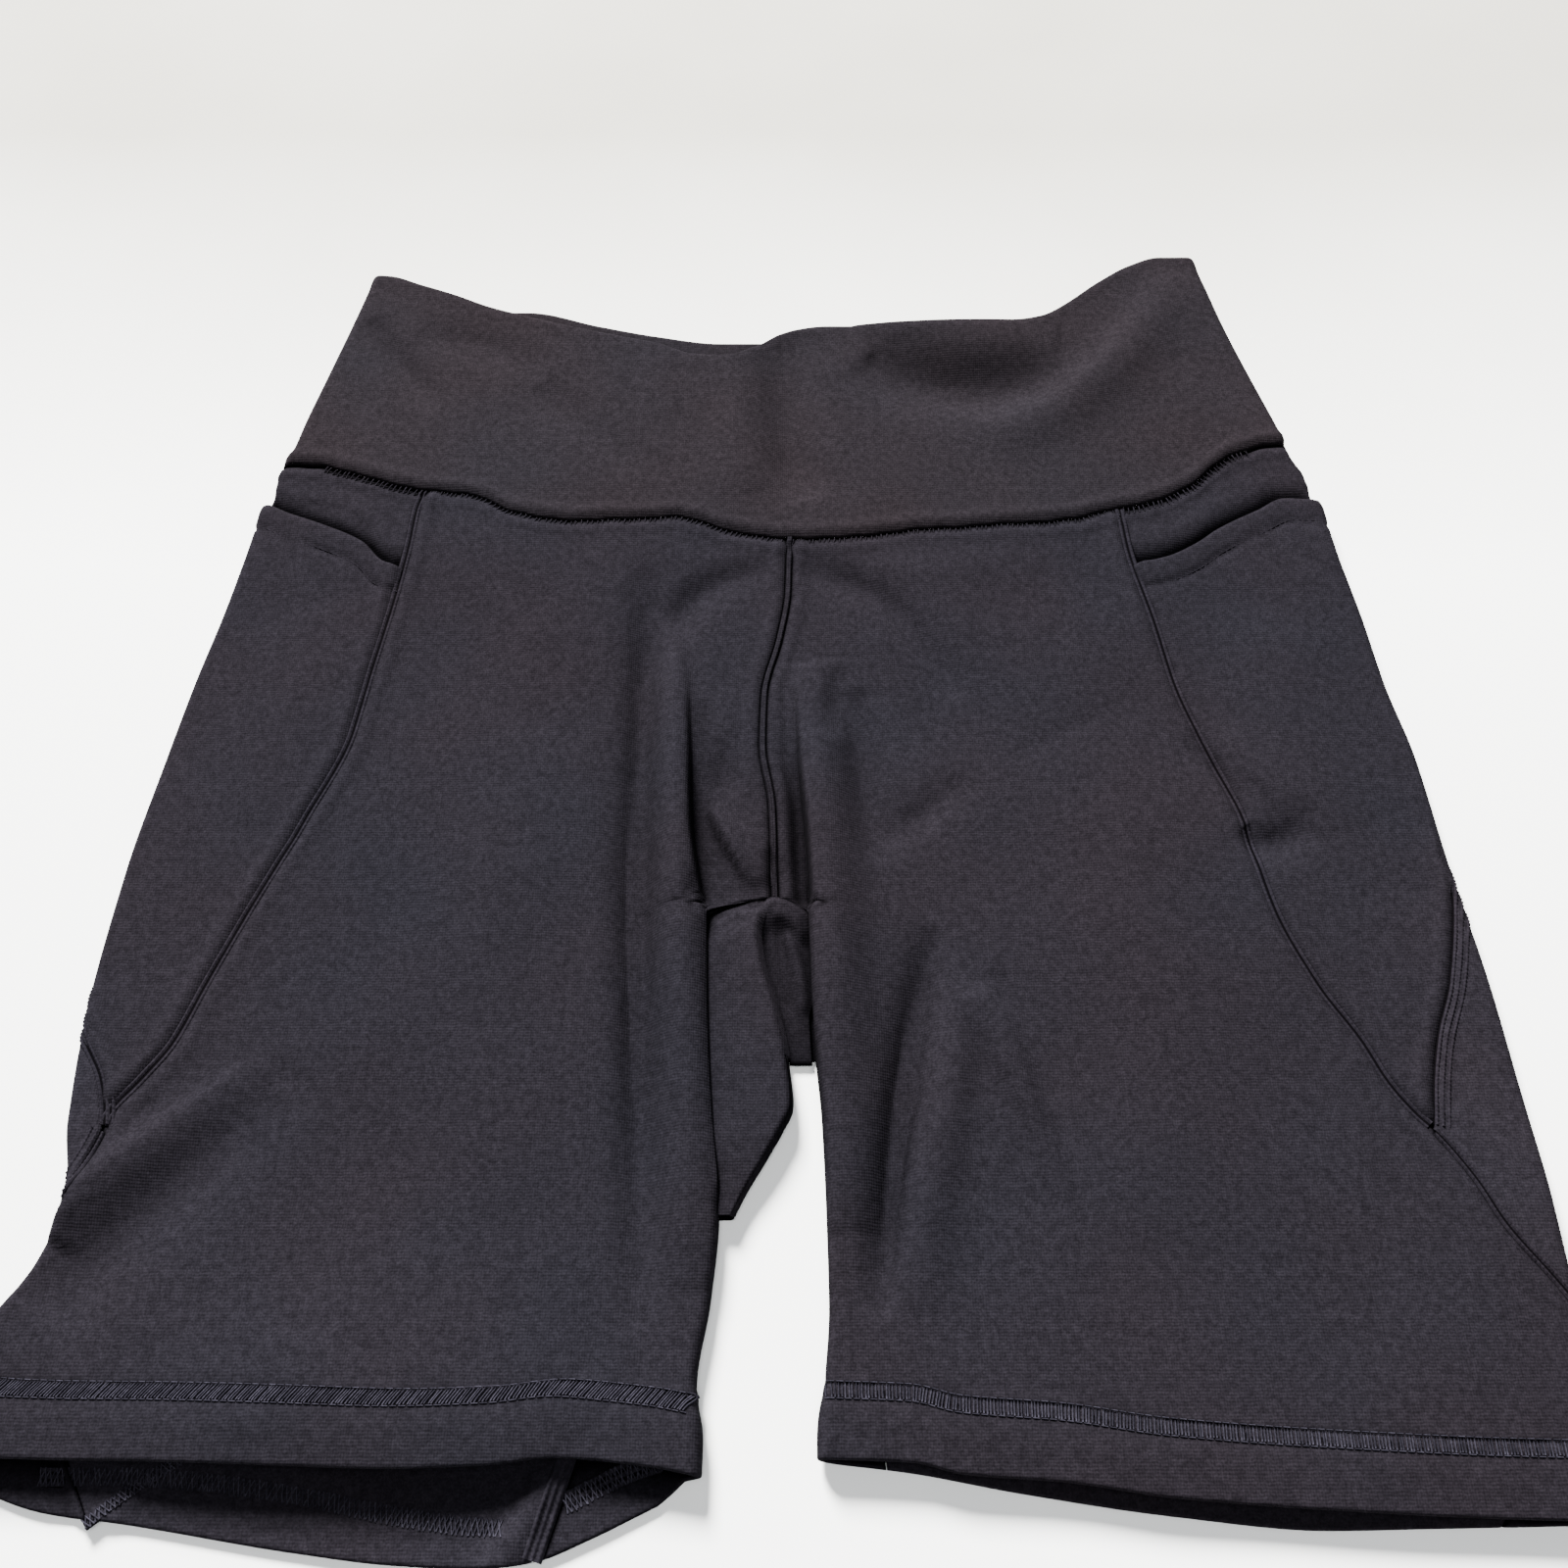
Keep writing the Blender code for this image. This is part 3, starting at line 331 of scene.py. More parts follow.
def cloth(side, reach, y):
    """Point in space of a place on the leg's ring, round the inner fold too where the front panel is rolled."""
    reach, y = np.broadcast_arrays(np.asarray(reach, float), np.asarray(y, float))
    low = back_wall(side, outer_fold[side](y), y) / 2
    x, z = outer_point(side, reach, y, low)
    z = np.where(reach <= -FOLD_ARC, back_wall(side, x, y) / 2, z)
    turn = inner_reach(side, y)
    rolled = (y < CROTCH - CORNER_DROP + 0.01) & (reach > turn / 2)
    depth, rise = fold_round(turn - reach)
    rolled_x = inner_fold[side](y) + side * depth
    rest = resting_level(side, y)
    rest = np.where(rest < PANEL_WALL, back_wall(side, rolled_x, y) / 2, rest)
    top = sheet_height(rolled_x, y)
    rolled_z = (top + rest) / 2 + np.sign(turn - reach) * rise * (top - rest) / 2
    return np.stack((np.where(rolled, rolled_x, x), y, np.where(rolled, rolled_z, z)), -1)


def normals_of(points, up=None):
    """Unit normals of a grid of points, facing away from the inside of the ring."""
    along, across = np.gradient(points, axis=0), np.gradient(points, axis=1)
    normal = np.cross(across, along)
    normal /= np.maximum(np.linalg.norm(normal, axis=-1, keepdims=True), 1e-9)
    if up is not None and normal[up][2] < 0:
        normal = -normal
    return normal


def level_y(side, level, x, layer):
    """Y of a level: 0 is the hem, 1 the straight line across the leg, 2 the hip and 3 the band's seam."""
    edge = hem_edge[side, layer](x)
    in_hem = edge + HEM_DEPTH * level / HEM_LEVEL
    share = (level - HEM_LEVEL) / (1 - HEM_LEVEL)
    in_leg = (edge + HEM_DEPTH) * (1 - share) + LEG_LEVEL * share
    in_body = LEG_LEVEL * (2 - level) + HIP_LEVEL * (level - 1)
    in_hip = HIP_LEVEL * (3 - level) + (band_seam[layer](x) - SEAM_GAP / 2) * (level - 2)
    return np.where(level <= HEM_LEVEL, in_hem, np.where(level <= 1, in_leg, np.where(level <= 2, in_body, in_hip)))


def level_y_at(side, level, x, reach):
    return np.where(reach >= 0, level_y(side, level, x, "front"), level_y(side, level, x, "back"))


def panel_levels(step):
    """Rows of a leg's panels as levels, close together at the hem's edge and at its stitching."""
    hem = HEM_LEVEL * np.array((0, 0.012, 0.035, 0.07))
    hem = np.concatenate((hem, np.linspace(0.12, 1, int(19 / step))[:-1] * HEM_LEVEL))
    leg = np.linspace(HEM_LEVEL, 1, int(62 / step))[:-1]
    body_y = np.concatenate((np.arange(LEG_LEVEL, HIP_LEVEL, step), (-133, -124, -110, -62, -54, -44)))
    body = 1 + (np.unique(np.round(body_y, 2)) - LEG_LEVEL) / (HIP_LEVEL - LEG_LEVEL)
    hip = np.linspace(2, 3, int(60 / step))
    return np.concatenate((hem, leg, body, hip))


def spread_row(start, end, turns, count, density=5.0):
    """Shares from 0 to 1 of the way from start to end, closer together at the turns and at both ends."""
    share = np.linspace(0, 1, 400)
    place = start + (end - start) * share
    weight = np.ones(400) + 1.5 * np.exp(-((place - start) / 2.5)**2) + 1.5 * np.exp(-((place - end) / 2.5)**2)
    for turn in turns:
        weight += density * np.exp(-((place - turn) / (FOLD_ARC * 0.9))**2)
    total = np.concatenate(([0.0], np.cumsum((weight[1:] + weight[:-1]) / 2)))
    return np.interp(np.linspace(0, total[-1], count), total, share)


# Materials

# reach and darkest colour factor of the painted shade near other cloth, in the knit materials
PAINTED_SHADE_REACH, PAINTED_CREASE_SHADE_DARKEST = 0.020, 0.12


def material(name, base, tint, grain, roughness=0.95, sheen=0.0008, weave=0.0, weave_scale=420.0, weave_depth=0.00012,
             creases=True):
    """Matte knit: two colours in broad soft patches, a fine grain, painted shade where other cloth stands close when
    creases is set, and the relief of the stitches.
    """
    mat = bpy.data.materials.new(name)
    mat.use_nodes = True
    nodes, links = mat.node_tree.nodes, mat.node_tree.links
    shader = nodes["Principled BSDF"]
    shader.inputs["Roughness"].default_value = roughness
    shader.inputs["Specular IOR Level"].default_value = 0.004
    shader.inputs["Sheen Weight"].default_value = sheen
    shader.inputs["Sheen Roughness"].default_value = 0.45
    shader.inputs["Sheen Tint"].default_value = (0.85, 0.83, 0.95, 1.0)
    place = nodes.new("ShaderNodeTexCoord")

    def noise(scale, detail, strength_low, strength_high):
        texture = nodes.new("ShaderNodeTexNoise")
        texture.inputs["Scale"].default_value = scale
        texture.inputs["Detail"].default_value = detail
        links.new(place.outputs["Object"], texture.inputs["Vector"])
        ramp = nodes.new("ShaderNodeMapRange")
        ramp.inputs["From Min"].default_value = 0.32
        ramp.inputs["From Max"].default_value = 0.68
        ramp.inputs["To Min"].default_value = strength_low
        ramp.inputs["To Max"].default_value = strength_high
        links.new(texture.outputs["Fac"], ramp.inputs["Value"])
        return ramp.outputs["Result"]

    def mix(kind, factor, a, b):
        node = nodes.new("ShaderNodeMix")
        node.data_type = "RGBA"
        node.blend_type = kind
        for socket, value in (("Factor", factor), ("A", a), ("B", b)):
            wanted = "VALUE" if socket == "Factor" else "RGBA"
            target = [s for s in node.inputs if s.name == socket and s.type == wanted][0]
            if isinstance(value, (float, int)):
                target.default_value = value
            elif isinstance(value, tuple):
                target.default_value = value
            else:
                links.new(value, target)
        return [s for s in node.outputs if s.type == "RGBA"][0]

    patches = noise(11.0, 2.0, 0.0, 1.0)
    colour = mix("MIX", patches, base + (1.0,), tint + (1.0,))
    fine = noise(1500.0, 2.0, 1.0 - grain, 1.0 + grain)
    speck = noise(420.0, 3.0, 1.0 - grain * 0.7, 1.0 + grain * 0.7)
    colour = mix("MULTIPLY", 1.0, colour, fine)
    colour = mix("MULTIPLY", 1.0, colour, speck)
    # painted shade, a look adjustment and not a property of the cloth: the colour is darker where other cloth stands
    # close to it, to come nearer to the deep shade of the photo's creases
    if weave and creases:
        painted_shade_probe = nodes.new("ShaderNodeAmbientOcclusion")
        painted_shade_probe.samples = 8
        painted_shade_probe.inputs["Distance"].default_value = PAINTED_SHADE_REACH
        depth = nodes.new("ShaderNodeMapRange")
        depth.inputs["From Min"].default_value = 0.48
        depth.inputs["From Max"].default_value = 0.94
        depth.inputs["To Min"].default_value = PAINTED_CREASE_SHADE_DARKEST
        depth.inputs["To Max"].default_value = 1.0
        links.new(painted_shade_probe.outputs["AO"], depth.inputs["Value"])
        colour = mix("MULTIPLY", 1.0, colour, depth.outputs["Result"])
    links.new(colour, shader.inputs["Base Color"])
    if weave:
        ribs = nodes.new("ShaderNodeTexWave")
        ribs.bands_direction = "X"
        ribs.inputs["Scale"].default_value = weave_scale
        ribs.inputs["Distortion"].default_value = 1.2
        ribs.inputs["Detail"].default_value = 1.0
        rows = nodes.new("ShaderNodeTexWave")
        rows.bands_direction = "Y"
        rows.inputs["Scale"].default_value = weave_scale * 0.8
        rows.inputs["Distortion"].default_value = 2.6
        links.new(place.outputs["Object"], ribs.inputs["Vector"])
        links.new(place.outputs["Object"], rows.inputs["Vector"])
        relief = nodes.new("ShaderNodeMath")
        relief.operation = "ADD"
        links.new(ribs.outputs["Fac"], relief.inputs[0])
        links.new(rows.outputs["Fac"], relief.inputs[1])
        bump = nodes.new("ShaderNodeBump")
        bump.inputs["Strength"].default_value = weave
        bump.inputs["Distance"].default_value = weave_depth
        links.new(relief.outputs[0], bump.inputs["Height"])
        links.new(bump.outputs["Normal"], shader.inputs["Normal"])
    return mat


KNIT = material("knit_black", (0.0063, 0.0059, 0.0078), (0.0069, 0.0058, 0.0074), 0.28, weave=0.35)
# painted light: a lighter copy of the same knit that offsets the shade inside the open left leg, used for both back
# panels, the hem bands and the inside of the left hem; it has no painted shade near other cloth
KNIT_PAINTED_LIGHTER = material("knit_painted_lighter", (0.0072, 0.0067, 0.0089), (0.0078, 0.0066, 0.0084), 0.28, weave=0.35, creases=False)
BAND = material("knit_band", (0.0070, 0.0062, 0.0077), (0.0077, 0.0061, 0.0072), 0.28, weave=0.35)
# painted shade: a near-black copy of the knit for the grooves of the seams
SEAM_PAINTED_SHADE = material("seam_painted_shade", (0.0012, 0.0011, 0.0015), (0.0014, 0.0011, 0.0014), 0.10, sheen=0.0)
CORD = material("seam_thread", (0.0068, 0.0063, 0.0086), (0.0075, 0.0062, 0.0080), 0.25, sheen=0.0)
THREAD = material("hem_thread", (0.0160, 0.0150, 0.0205), (0.0132, 0.0123, 0.0168), 0.30, sheen=0.0)
THREAD_DARK = material("hem_thread_dark", (0.0112, 0.0105, 0.0144), (0.0092, 0.0086, 0.0118), 0.25, sheen=0.0)


# Meshes

def build(name, points, faces, mats, face_mats=None, walls=None, node=None, subdivide=False):
    """Makes an object from points in the tables' numbers, with a wall where walls are given."""
    mesh = bpy.data.meshes.new(name)
    places = (np.asarray(points, float).reshape(-1, 3) - ORIGIN) * MM
    mesh.from_pydata(places.tolist(), [], faces)
    for mat in mats:
        mesh.materials.append(mat)
    if face_mats is not None:
        mesh.polygons.foreach_set("material_index", np.asarray(face_mats, dtype=np.int32))
    mesh.polygons.foreach_set("use_smooth", np.ones(len(mesh.polygons), dtype=bool))
    mesh.update()
    body = bpy.data.objects.new(name, mesh)
    bpy.context.scene.collection.objects.link(body)
    if walls is not None:
        walls = np.asarray(walls, float).ravel()
        group = body.vertex_groups.new(name="wall")
        weights = np.round(walls / walls.max(), 2)
        for value in np.unique(weights):
            group.add(np.nonzero(weights == value)[0].tolist(), float(value), "REPLACE")
        solid = body.modifiers.new("wall", "SOLIDIFY")
        solid.thickness = float(walls.max()) * MM
        solid.offset = 0.0
        solid.vertex_group = "wall"
    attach(body, "root")
    if node:
        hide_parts(node)
    return body


def grid_faces(rows, columns, keep=None, start=0):
    """Faces of a grid of points in row order; keep says which points are there."""
    faces = []
    for r in range(rows - 1):
        for c in range(columns - 1):
            corners = ((r, c), (r, c + 1), (r + 1, c + 1), (r + 1, c))
            if keep is None or all(keep[k] for k in corners):
                faces.append(tuple(start + i * columns + j for i, j in corners))
    return faces


def seam_swell(distance):
    """Relief of the cloth beside a seam: down into the seam, with a soft swell behind it."""
    distance = np.abs(distance)
    return 0.6 * np.exp(-((distance - 4.4) / 2.2)**2) - 1.0 * np.exp(-(distance / 1.8)**2)


STEP = 1.9
LEVELS = panel_levels(STEP)
OUTER_COLUMNS, INNER_COLUMNS, STRIP = 84, 48, 12
MAIN = OUTER_COLUMNS + INNER_COLUMNS - 1
KNEE = 27.0


def seam_share(side, y):
    """How much shorter the distance square to the front side seam is than the distance along a row."""
    slope = (front_side_seam[side](y + 2) - front_side_seam[side](y - 2)) / 4
    return 1 / np.sqrt(1 + slope**2)


def hem_relief(side, reach, x, y):
    """Soft swell of the turned hem on the front layer, and the hollow that its stitching draws in."""
    above = y - hem_edge[side, "front"](x)
    swell = 0.35 * np.exp(-((above - 10) / 7)**2) - 0.35 * np.exp(-((above - HEM_DEPTH + 2.8) / 3.2)**2)
    return np.where(reach > 0, swell, 0.0)


def front_panel(side):
    rows = len(LEVELS)
    level = LEVELS[:, None]
    shares = np.zeros((rows, MAIN))
    mid_y = level_y(side, LEVELS, np.full(rows, side * 120.0), "front")

    def ends(y):
        start = front_side_seam[side](y) + SEAM_GAP / 2
        turn = inner_reach(side, y)
        at_seam = reach_of(side, centre_front(y) + side * SEAM_GAP / 2, y)
        slide = np.clip((CROTCH - y) / CORNER_DROP, 0, 1)**(1 / CORNER_CURVE)
        corner = reach_of(side, centre_front(CROTCH) + side * SEAM_GAP / 2, y)
        sliding = (1 - slide) * corner + slide * reach_of(side, inner_fold[side](y), y)
        end = np.where(y >= CROTCH - 0.01, at_seam, np.where(y < CROTCH - CORNER_DROP + 0.01, turn + FOLD_CURL, sliding))
        return start, end, turn

    for r in range(rows):
        start, end, turn = (float(v) for v in ends(mid_y[r]))
        shares[r, :OUTER_COLUMNS] = spread_row(start, turn - KNEE, [0.0], OUTER_COLUMNS)
        shares[r, OUTER_COLUMNS - 1:] = 1 + spread_row(turn - KNEE, end, [turn], INNER_COLUMNS,
                                                       4.0 * float(smooth_step((60 - mid_y[r]) / 60)))
    x = np.full((rows, MAIN), side * 120.0)
    reach = np.ones((rows, MAIN))
    for _ in range(4):
        y = level_y_at(side, level, x, reach)
        start, end, turn = ends(y)
        knee = turn - KNEE
        reach = np.where(shares <= 1, start + (knee - start) * shares, knee + (end - knee) * (shares - 1))
        x = cloth(side, reach, y)[..., 0]
    strip_x = np.full((rows, STRIP), side * 20.0)
    for _ in range(3):
        strip_y = level_y(side, level, strip_x, "back")
        start, end, turn = ends(strip_y)
        strip_last = turn + FOLD_ARC - FOLD_DEPTH + side * (inseam[side](strip_y) - side * SEAM_GAP / 2
                                                            - inner_fold[side](strip_y))
        share = np.linspace(0, 1, STRIP)
        strip_reach = end + (strip_last - end) * share
        strip_x = cloth(side, strip_reach, strip_y)[..., 0]
    blend = smooth_step(np.linspace(0, 1, STRIP) * 4)
    strip_y = level_y(side, level, strip_x, "front") * (1 - blend) + strip_y * blend
    reach = np.concatenate((reach, strip_reach[:, 1:]), 1)
    y = np.concatenate((y, strip_y[:, 1:]), 1)
    points = cloth(side, reach, y)
    columns = MAIN + STRIP - 1
    keep = np.ones((rows, columns), bool)
    strip_start = TONGUE_END if side == LEFT else FORK
    keep[mid_y >= strip_start + 0.01, MAIN:] = False
    normal = normals_of(points, (rows // 2, MAIN // 2))
    seam = (reach - front_side_seam[side](y)) * seam_share(side, y)
    relief = seam_swell(seam) + hem_relief(side, reach, points[..., 0], y)
    centre = side * (points[..., 0] - centre_front(y))
    relief += np.where((y > CROTCH) & (centre < 12), seam_swell(centre), 0.0)
    relief += np.where(y > 70, seam_swell(front_band_seam(points[..., 0]) - y), 0.0)
    on_front = reach > 0
    points = points + normal * relief[..., None]
    walls = np.where(y < np.where(on_front, hem_edge[side, "front"](points[..., 0]),
                                  hem_edge[side, "back"](points[..., 0])) + HEM_DEPTH, HEM_WALL, PANEL_WALL)
    rim = 0.35 + 0.65 * np.sqrt(1 - (1 - np.clip(level / HEM_LEVEL * HEM_DEPTH / 0.9, 0, 1))**2)
    walls = walls * rim
    name = "front_panel_left" if side == LEFT else "front_panel_right"
    return build("cloth_" + name, points, grid_faces(rows, columns, keep), [KNIT], None, walls, name)


def back_panel(side):
    levels = panel_levels(3.0)
    rows, columns = len(levels), 70
    level = levels[:, None]
    mid_y = level_y(side, levels, np.full(rows, side * 100.0), "back")

    def ends(y):
        seam = np.where(y > V_TIP, back_side_seam[side](y), front_side_seam[side](y))
        middle_x = np.where(y >= GUSSET_BACK_POINT - 0.01, CENTRE_BACK_X, inseam[side](y)) + side * SEAM_GAP / 2
        return seam - SEAM_GAP / 2, -reach_of(side, middle_x, y)

    shares = np.stack([spread_row(*(float(v) for v in ends(v0)), [0.0], columns, 9.0) for v0 in mid_y])
    x = np.full((rows, columns), side * 100.0)
    reach = -np.ones((rows, columns))
    for _ in range(4):
        y = level_y_at(side, level, x, reach)
        start, end = ends(y)
        reach = start + (end - start) * shares
        x = cloth(side, reach, y)[..., 0]
    points = cloth(side, reach, y)
    wall = np.where(y < np.where(reach > 0, hem_edge[side, "front"](x), hem_edge[side, "back"](x)) + HEM_DEPTH,
                    HEM_WALL, PANEL_WALL)
    rim = 0.35 + 0.65 * np.sqrt(1 - (1 - np.clip(level / HEM_LEVEL * HEM_DEPTH / 0.9, 0, 1))**2)
    if side == LEFT:
        # a ridge of the inside of the hem, under the open mouth of the leg
        lift = fold_of(points[..., 0], y, ((-50, -224), (-58, -238), (-69, -256)), 4.5, 2.2)
        lift += fold_of(points[..., 0], y, ((-180, -246), (-170, -236), (-158, -226)), 3.0, 0.8)
        points[..., 2] += np.where(reach < 0, lift, 0.0)
    name = "back_panel_left" if side == LEFT else "back_panel_right"
    return build("cloth_" + name, points, grid_faces(rows, columns), [KNIT_PAINTED_LIGHTER], None, wall * rim, name)


def fold_of(x, y, line, half_width, height):
    start, middle, end = (np.array(p, float) for p in line)
    share = np.linspace(0, 1, 12)[:, None]
    control = 2 * middle - (start + end) / 2
    points = (1 - share)**2 * start + 2 * share * (1 - share) * control + share**2 * end
    a, step = points[:-1], np.diff(points, axis=0)
    px, py = x[..., None], y[..., None]
    t = np.clip(((px - a[:, 0]) * step[:, 0] + (py - a[:, 1]) * step[:, 1]) / (step**2).sum(1), 0, 1)
    distance = np.hypot(px - a[:, 0] - t * step[:, 0], py - a[:, 1] - t * step[:, 1]).min(-1)
    return height * np.exp(-(distance / half_width)**2)


def side_ends(side, y):
    start, end = front_side_seam[side](y) - SEAM_GAP / 2, back_side_seam[side](y) + SEAM_GAP / 2
    narrow = start - end < 1.0
    middle = (start + end) / 2
    return np.where(narrow, middle + 0.5, start), np.where(narrow, middle - 0.5, end)


def side_panel(side):
    below = np.concatenate((np.arange(V_TIP + 1.0, HIP_LEVEL, STEP), (HIP_LEVEL,)))
    above = np.concatenate((np.linspace(0, 1, 34)[1:-4], 1 - np.array((0.05, 0.03, 0.012, 0.0))))
    base = np.concatenate((below, np.full(len(above), HIP_LEVEL)))[:, None]
    share = np.concatenate((np.zeros(len(below)), above))[:, None]
    rows, columns = len(base), 76
    shares = np.stack([spread_row(*(float(v) for v in side_ends(side, b)), [0.0], columns) for b in
                       (base * (1 - share) + 95 * share)[:, 0]])
    reach = np.zeros((rows, columns))
    for _ in range(4):
        y = base * (1 - share) + pocket_opening[side](reach) * share
        start, end = side_ends(side, y)
        reach = start + (end - start) * shares
    x, z = outer_point(side, reach, y, PANEL_WALL / 2)
    points = np.stack((x, y, z), -1)
    normal = normals_of(points, (rows // 2, 4))
    relief = seam_swell((reach - front_side_seam[side](y)) * seam_share(side, y))
    relief += np.where(reach > FOLD_ARC, seam_swell(reach - back_side_seam[side](y)), 0.0)
    below_top = pocket_opening[side](reach) - y
    relief += np.where(y > 50, 0.5 * np.exp(-((below_top - 3) / 5)**2)
                       - 0.55 * np.exp(-((below_top - 10.5) / 1.1)**2), 0.0)
    points = points + normal * relief[..., None]
    wall = np.where(below_top < 10.5, 1.7, PANEL_WALL)
    rim = 0.35 + 0.65 * np.sqrt(1 - (1 - np.clip(below_top / 0.8, 0, 1))**2)
    name = "side_panel_left" if side == LEFT else "side_panel_right"
    return build("cloth_" + name, points, grid_faces(rows, columns), [KNIT], None, wall * rim, name)


def pocket(side):
    rows, columns = 30, 60
    share = np.linspace(0, 1, rows)[:, None]
    shares = spread_row(*(float(v) for v in side_ends(side, 115.0)), [0.0], columns)[None]
    reach, x = np.zeros((rows, columns)), np.full((rows, columns), side * 190.0)
    for _ in range(5):
        seam_y = np.where(reach >= 0, front_band_seam(x), back_band_seam(x)) - SEAM_GAP * 1.5
        y = (pocket_opening[side](reach) - POCKET_TUCK) * (1 - share) + seam_y * share
        start, end = side_ends(side, y)
        reach = start + (end - start) * shares
        x, z = outer_point(side, reach, y, PANEL_WALL / 2, POCKET_INSET)
    points = np.stack((x, y, z), -1)
    normal = normals_of(points, (rows // 2, 8))
    above = y - pocket_opening[side](reach)
    lift = 1.3 * smooth_step((above - 2) / 8) * smooth_step((reach + 4) / 8)
    lift -= np.where(reach > 4, 2.2 * np.exp(-(above / 3.0)**2), 0.0)
    lift += np.where(reach > 0, seam_swell(front_band_seam(x) - y), 0.0)
    if side == LEFT:
        lift += fold_of(x, y, ((-172, 112), (-155, 106), (-146, 98)), 2.2, -0.5)
    points = points + normal * lift[..., None]
    name = "pocket_left" if side == LEFT else "pocket_right"
    return build("cloth_" + name, points, grid_faces(rows, columns), [KNIT], None,
                 np.full(points.shape[:2], POCKET_WALL), name)


def band_ring(share, count):
    """Reach grid of the waistband's front sheet, as distance from the left outer fold."""
    x, reach = np.zeros((len(share), count)), np.ones((len(share), count))
    for _ in range(4):
        front = (front_band_seam(x) + SEAM_GAP / 2) * (1 - share[:, None]) + top_edge["front"](x) * share[:, None]
        back = (back_band_seam(x) + SEAM_GAP / 2) * (1 - share[:, None]) + top_edge["back"](x) * share[:, None]
        width = outer_fold[RIGHT](front) - outer_fold[LEFT](front) + 2 * (FOLD_ARC - FOLD_DEPTH)
        inside = (reach >= 0) & (reach <= width)
        y = np.where(inside, front, back)
        width = outer_fold[RIGHT](y) - outer_fold[LEFT](y) + 2 * (FOLD_ARC - FOLD_DEPTH)
        shares = spread_row(-BAND_JOIN, float(width[0, count // 2]) + BAND_JOIN, [0.0, float(width[0, count // 2])], count)
        reach = -BAND_JOIN + (width + 2 * BAND_JOIN) * shares[None]
        left = reach < width / 2
        distance = np.where(left, reach, width - reach)
        left_x, left_z = outer_point(LEFT, distance, y, BAND_WALL / 2)
        right_x, right_z = outer_point(RIGHT, distance, y, BAND_WALL / 2)
        x, z = np.where(left, left_x, right_x), np.where(left, left_z, right_z)
        z = np.where(distance <= -FOLD_ARC, BAND_WALL / 2, z)
    return np.stack((x, y, z), -1), distance


def waistband_front():
    share = np.concatenate((np.linspace(0, 0.97, 70), (0.98, 0.988, 0.994, 0.998, 1.0)))
    points, distance = band_ring(share, 240)
    normal = normals_of(points, (30, 120))
    x, y = points[..., 0], points[..., 1]
    below_top = top_edge["front"](x) - y
    relief = np.where(distance > 0, seam_swell(y - front_band_seam(x)), 0.0)
    relief += np.where(distance > 0, 0.25 * np.exp(-((below_top - 3) / 3)**2), 0.0)
    points = points + normal * relief[..., None]
    rim = 0.3 + 0.7 * np.sqrt(1 - (1 - np.clip((1 - share) * 100 / 1.0, 0, 1))**2)
    walls = np.full(points.shape[:2], BAND_WALL) * rim[:, None]
    return build("cloth_waistband_front", points, grid_faces(*points.shape[:2]), [BAND], None, walls,
                 "waistband_front")


def waistband_back():
    share = np.concatenate((np.linspace(0, 0.97, 40), (0.98, 0.99, 1.0)))[:, None]
    across = np.linspace(0, 1, 120)[None]
    x = np.zeros((len(share), 120))
    for _ in range(4):
        y = (back_band_seam(x) + SEAM_GAP / 2) * (1 - share) + top_edge["back"](x) * share
        inset = BAND_JOIN - FOLD_ARC + FOLD_DEPTH + SEAM_GAP
        x = (outer_fold[LEFT](y) + inset) * (1 - across) + (outer_fold[RIGHT](y) - inset) * across
    z = np.full_like(x, BAND_WALL / 2)
    rim = 0.3 + 0.7 * np.sqrt(1 - (1 - np.clip((1 - share) * 100, 0, 1))**2)
    return build("cloth_waistband_back", np.stack((x, y, z), -1), grid_faces(*x.shape), [BAND], None,
                 np.full_like(x, BAND_WALL) * rim, "waistband_back")


# The gusset, as in the part but finer

GUSSET_LEFT, GUSSET_RIGHT = 18, 18


def tongue_left(y):
    return inner_fold[LEFT](y) - 3.0


def gusset_right(y):
    return inner_fold[RIGHT](y) + 3.0 - 4.6 * smooth_step((-84 - y) / 12)


def tongue_height(y):
    return TONGUE_HEIGHT - 1.6 * smooth_step((-135 - y) / 20)


def corner_share(x):
    centre = centre_front(CROTCH)
    fold = np.where(x < centre, inner_fold[LEFT](CROTCH - CORNER_DROP), inner_fold[RIGHT](CROTCH - CORNER_DROP))
    return np.clip((x - centre) / (fold - centre), 0.0, 1.0)**CORNER_CURVE


def weld(points, faces):
    """Makes one of points that lie in the same place."""
    kept, index = np.unique(np.round(points, 3), axis=0, return_inverse=True)
    index = index.ravel()
    joined = [tuple(dict.fromkeys(int(index[k]) for k in face)) for face in faces]
    return kept, [face for face in joined if len(face) > 2]


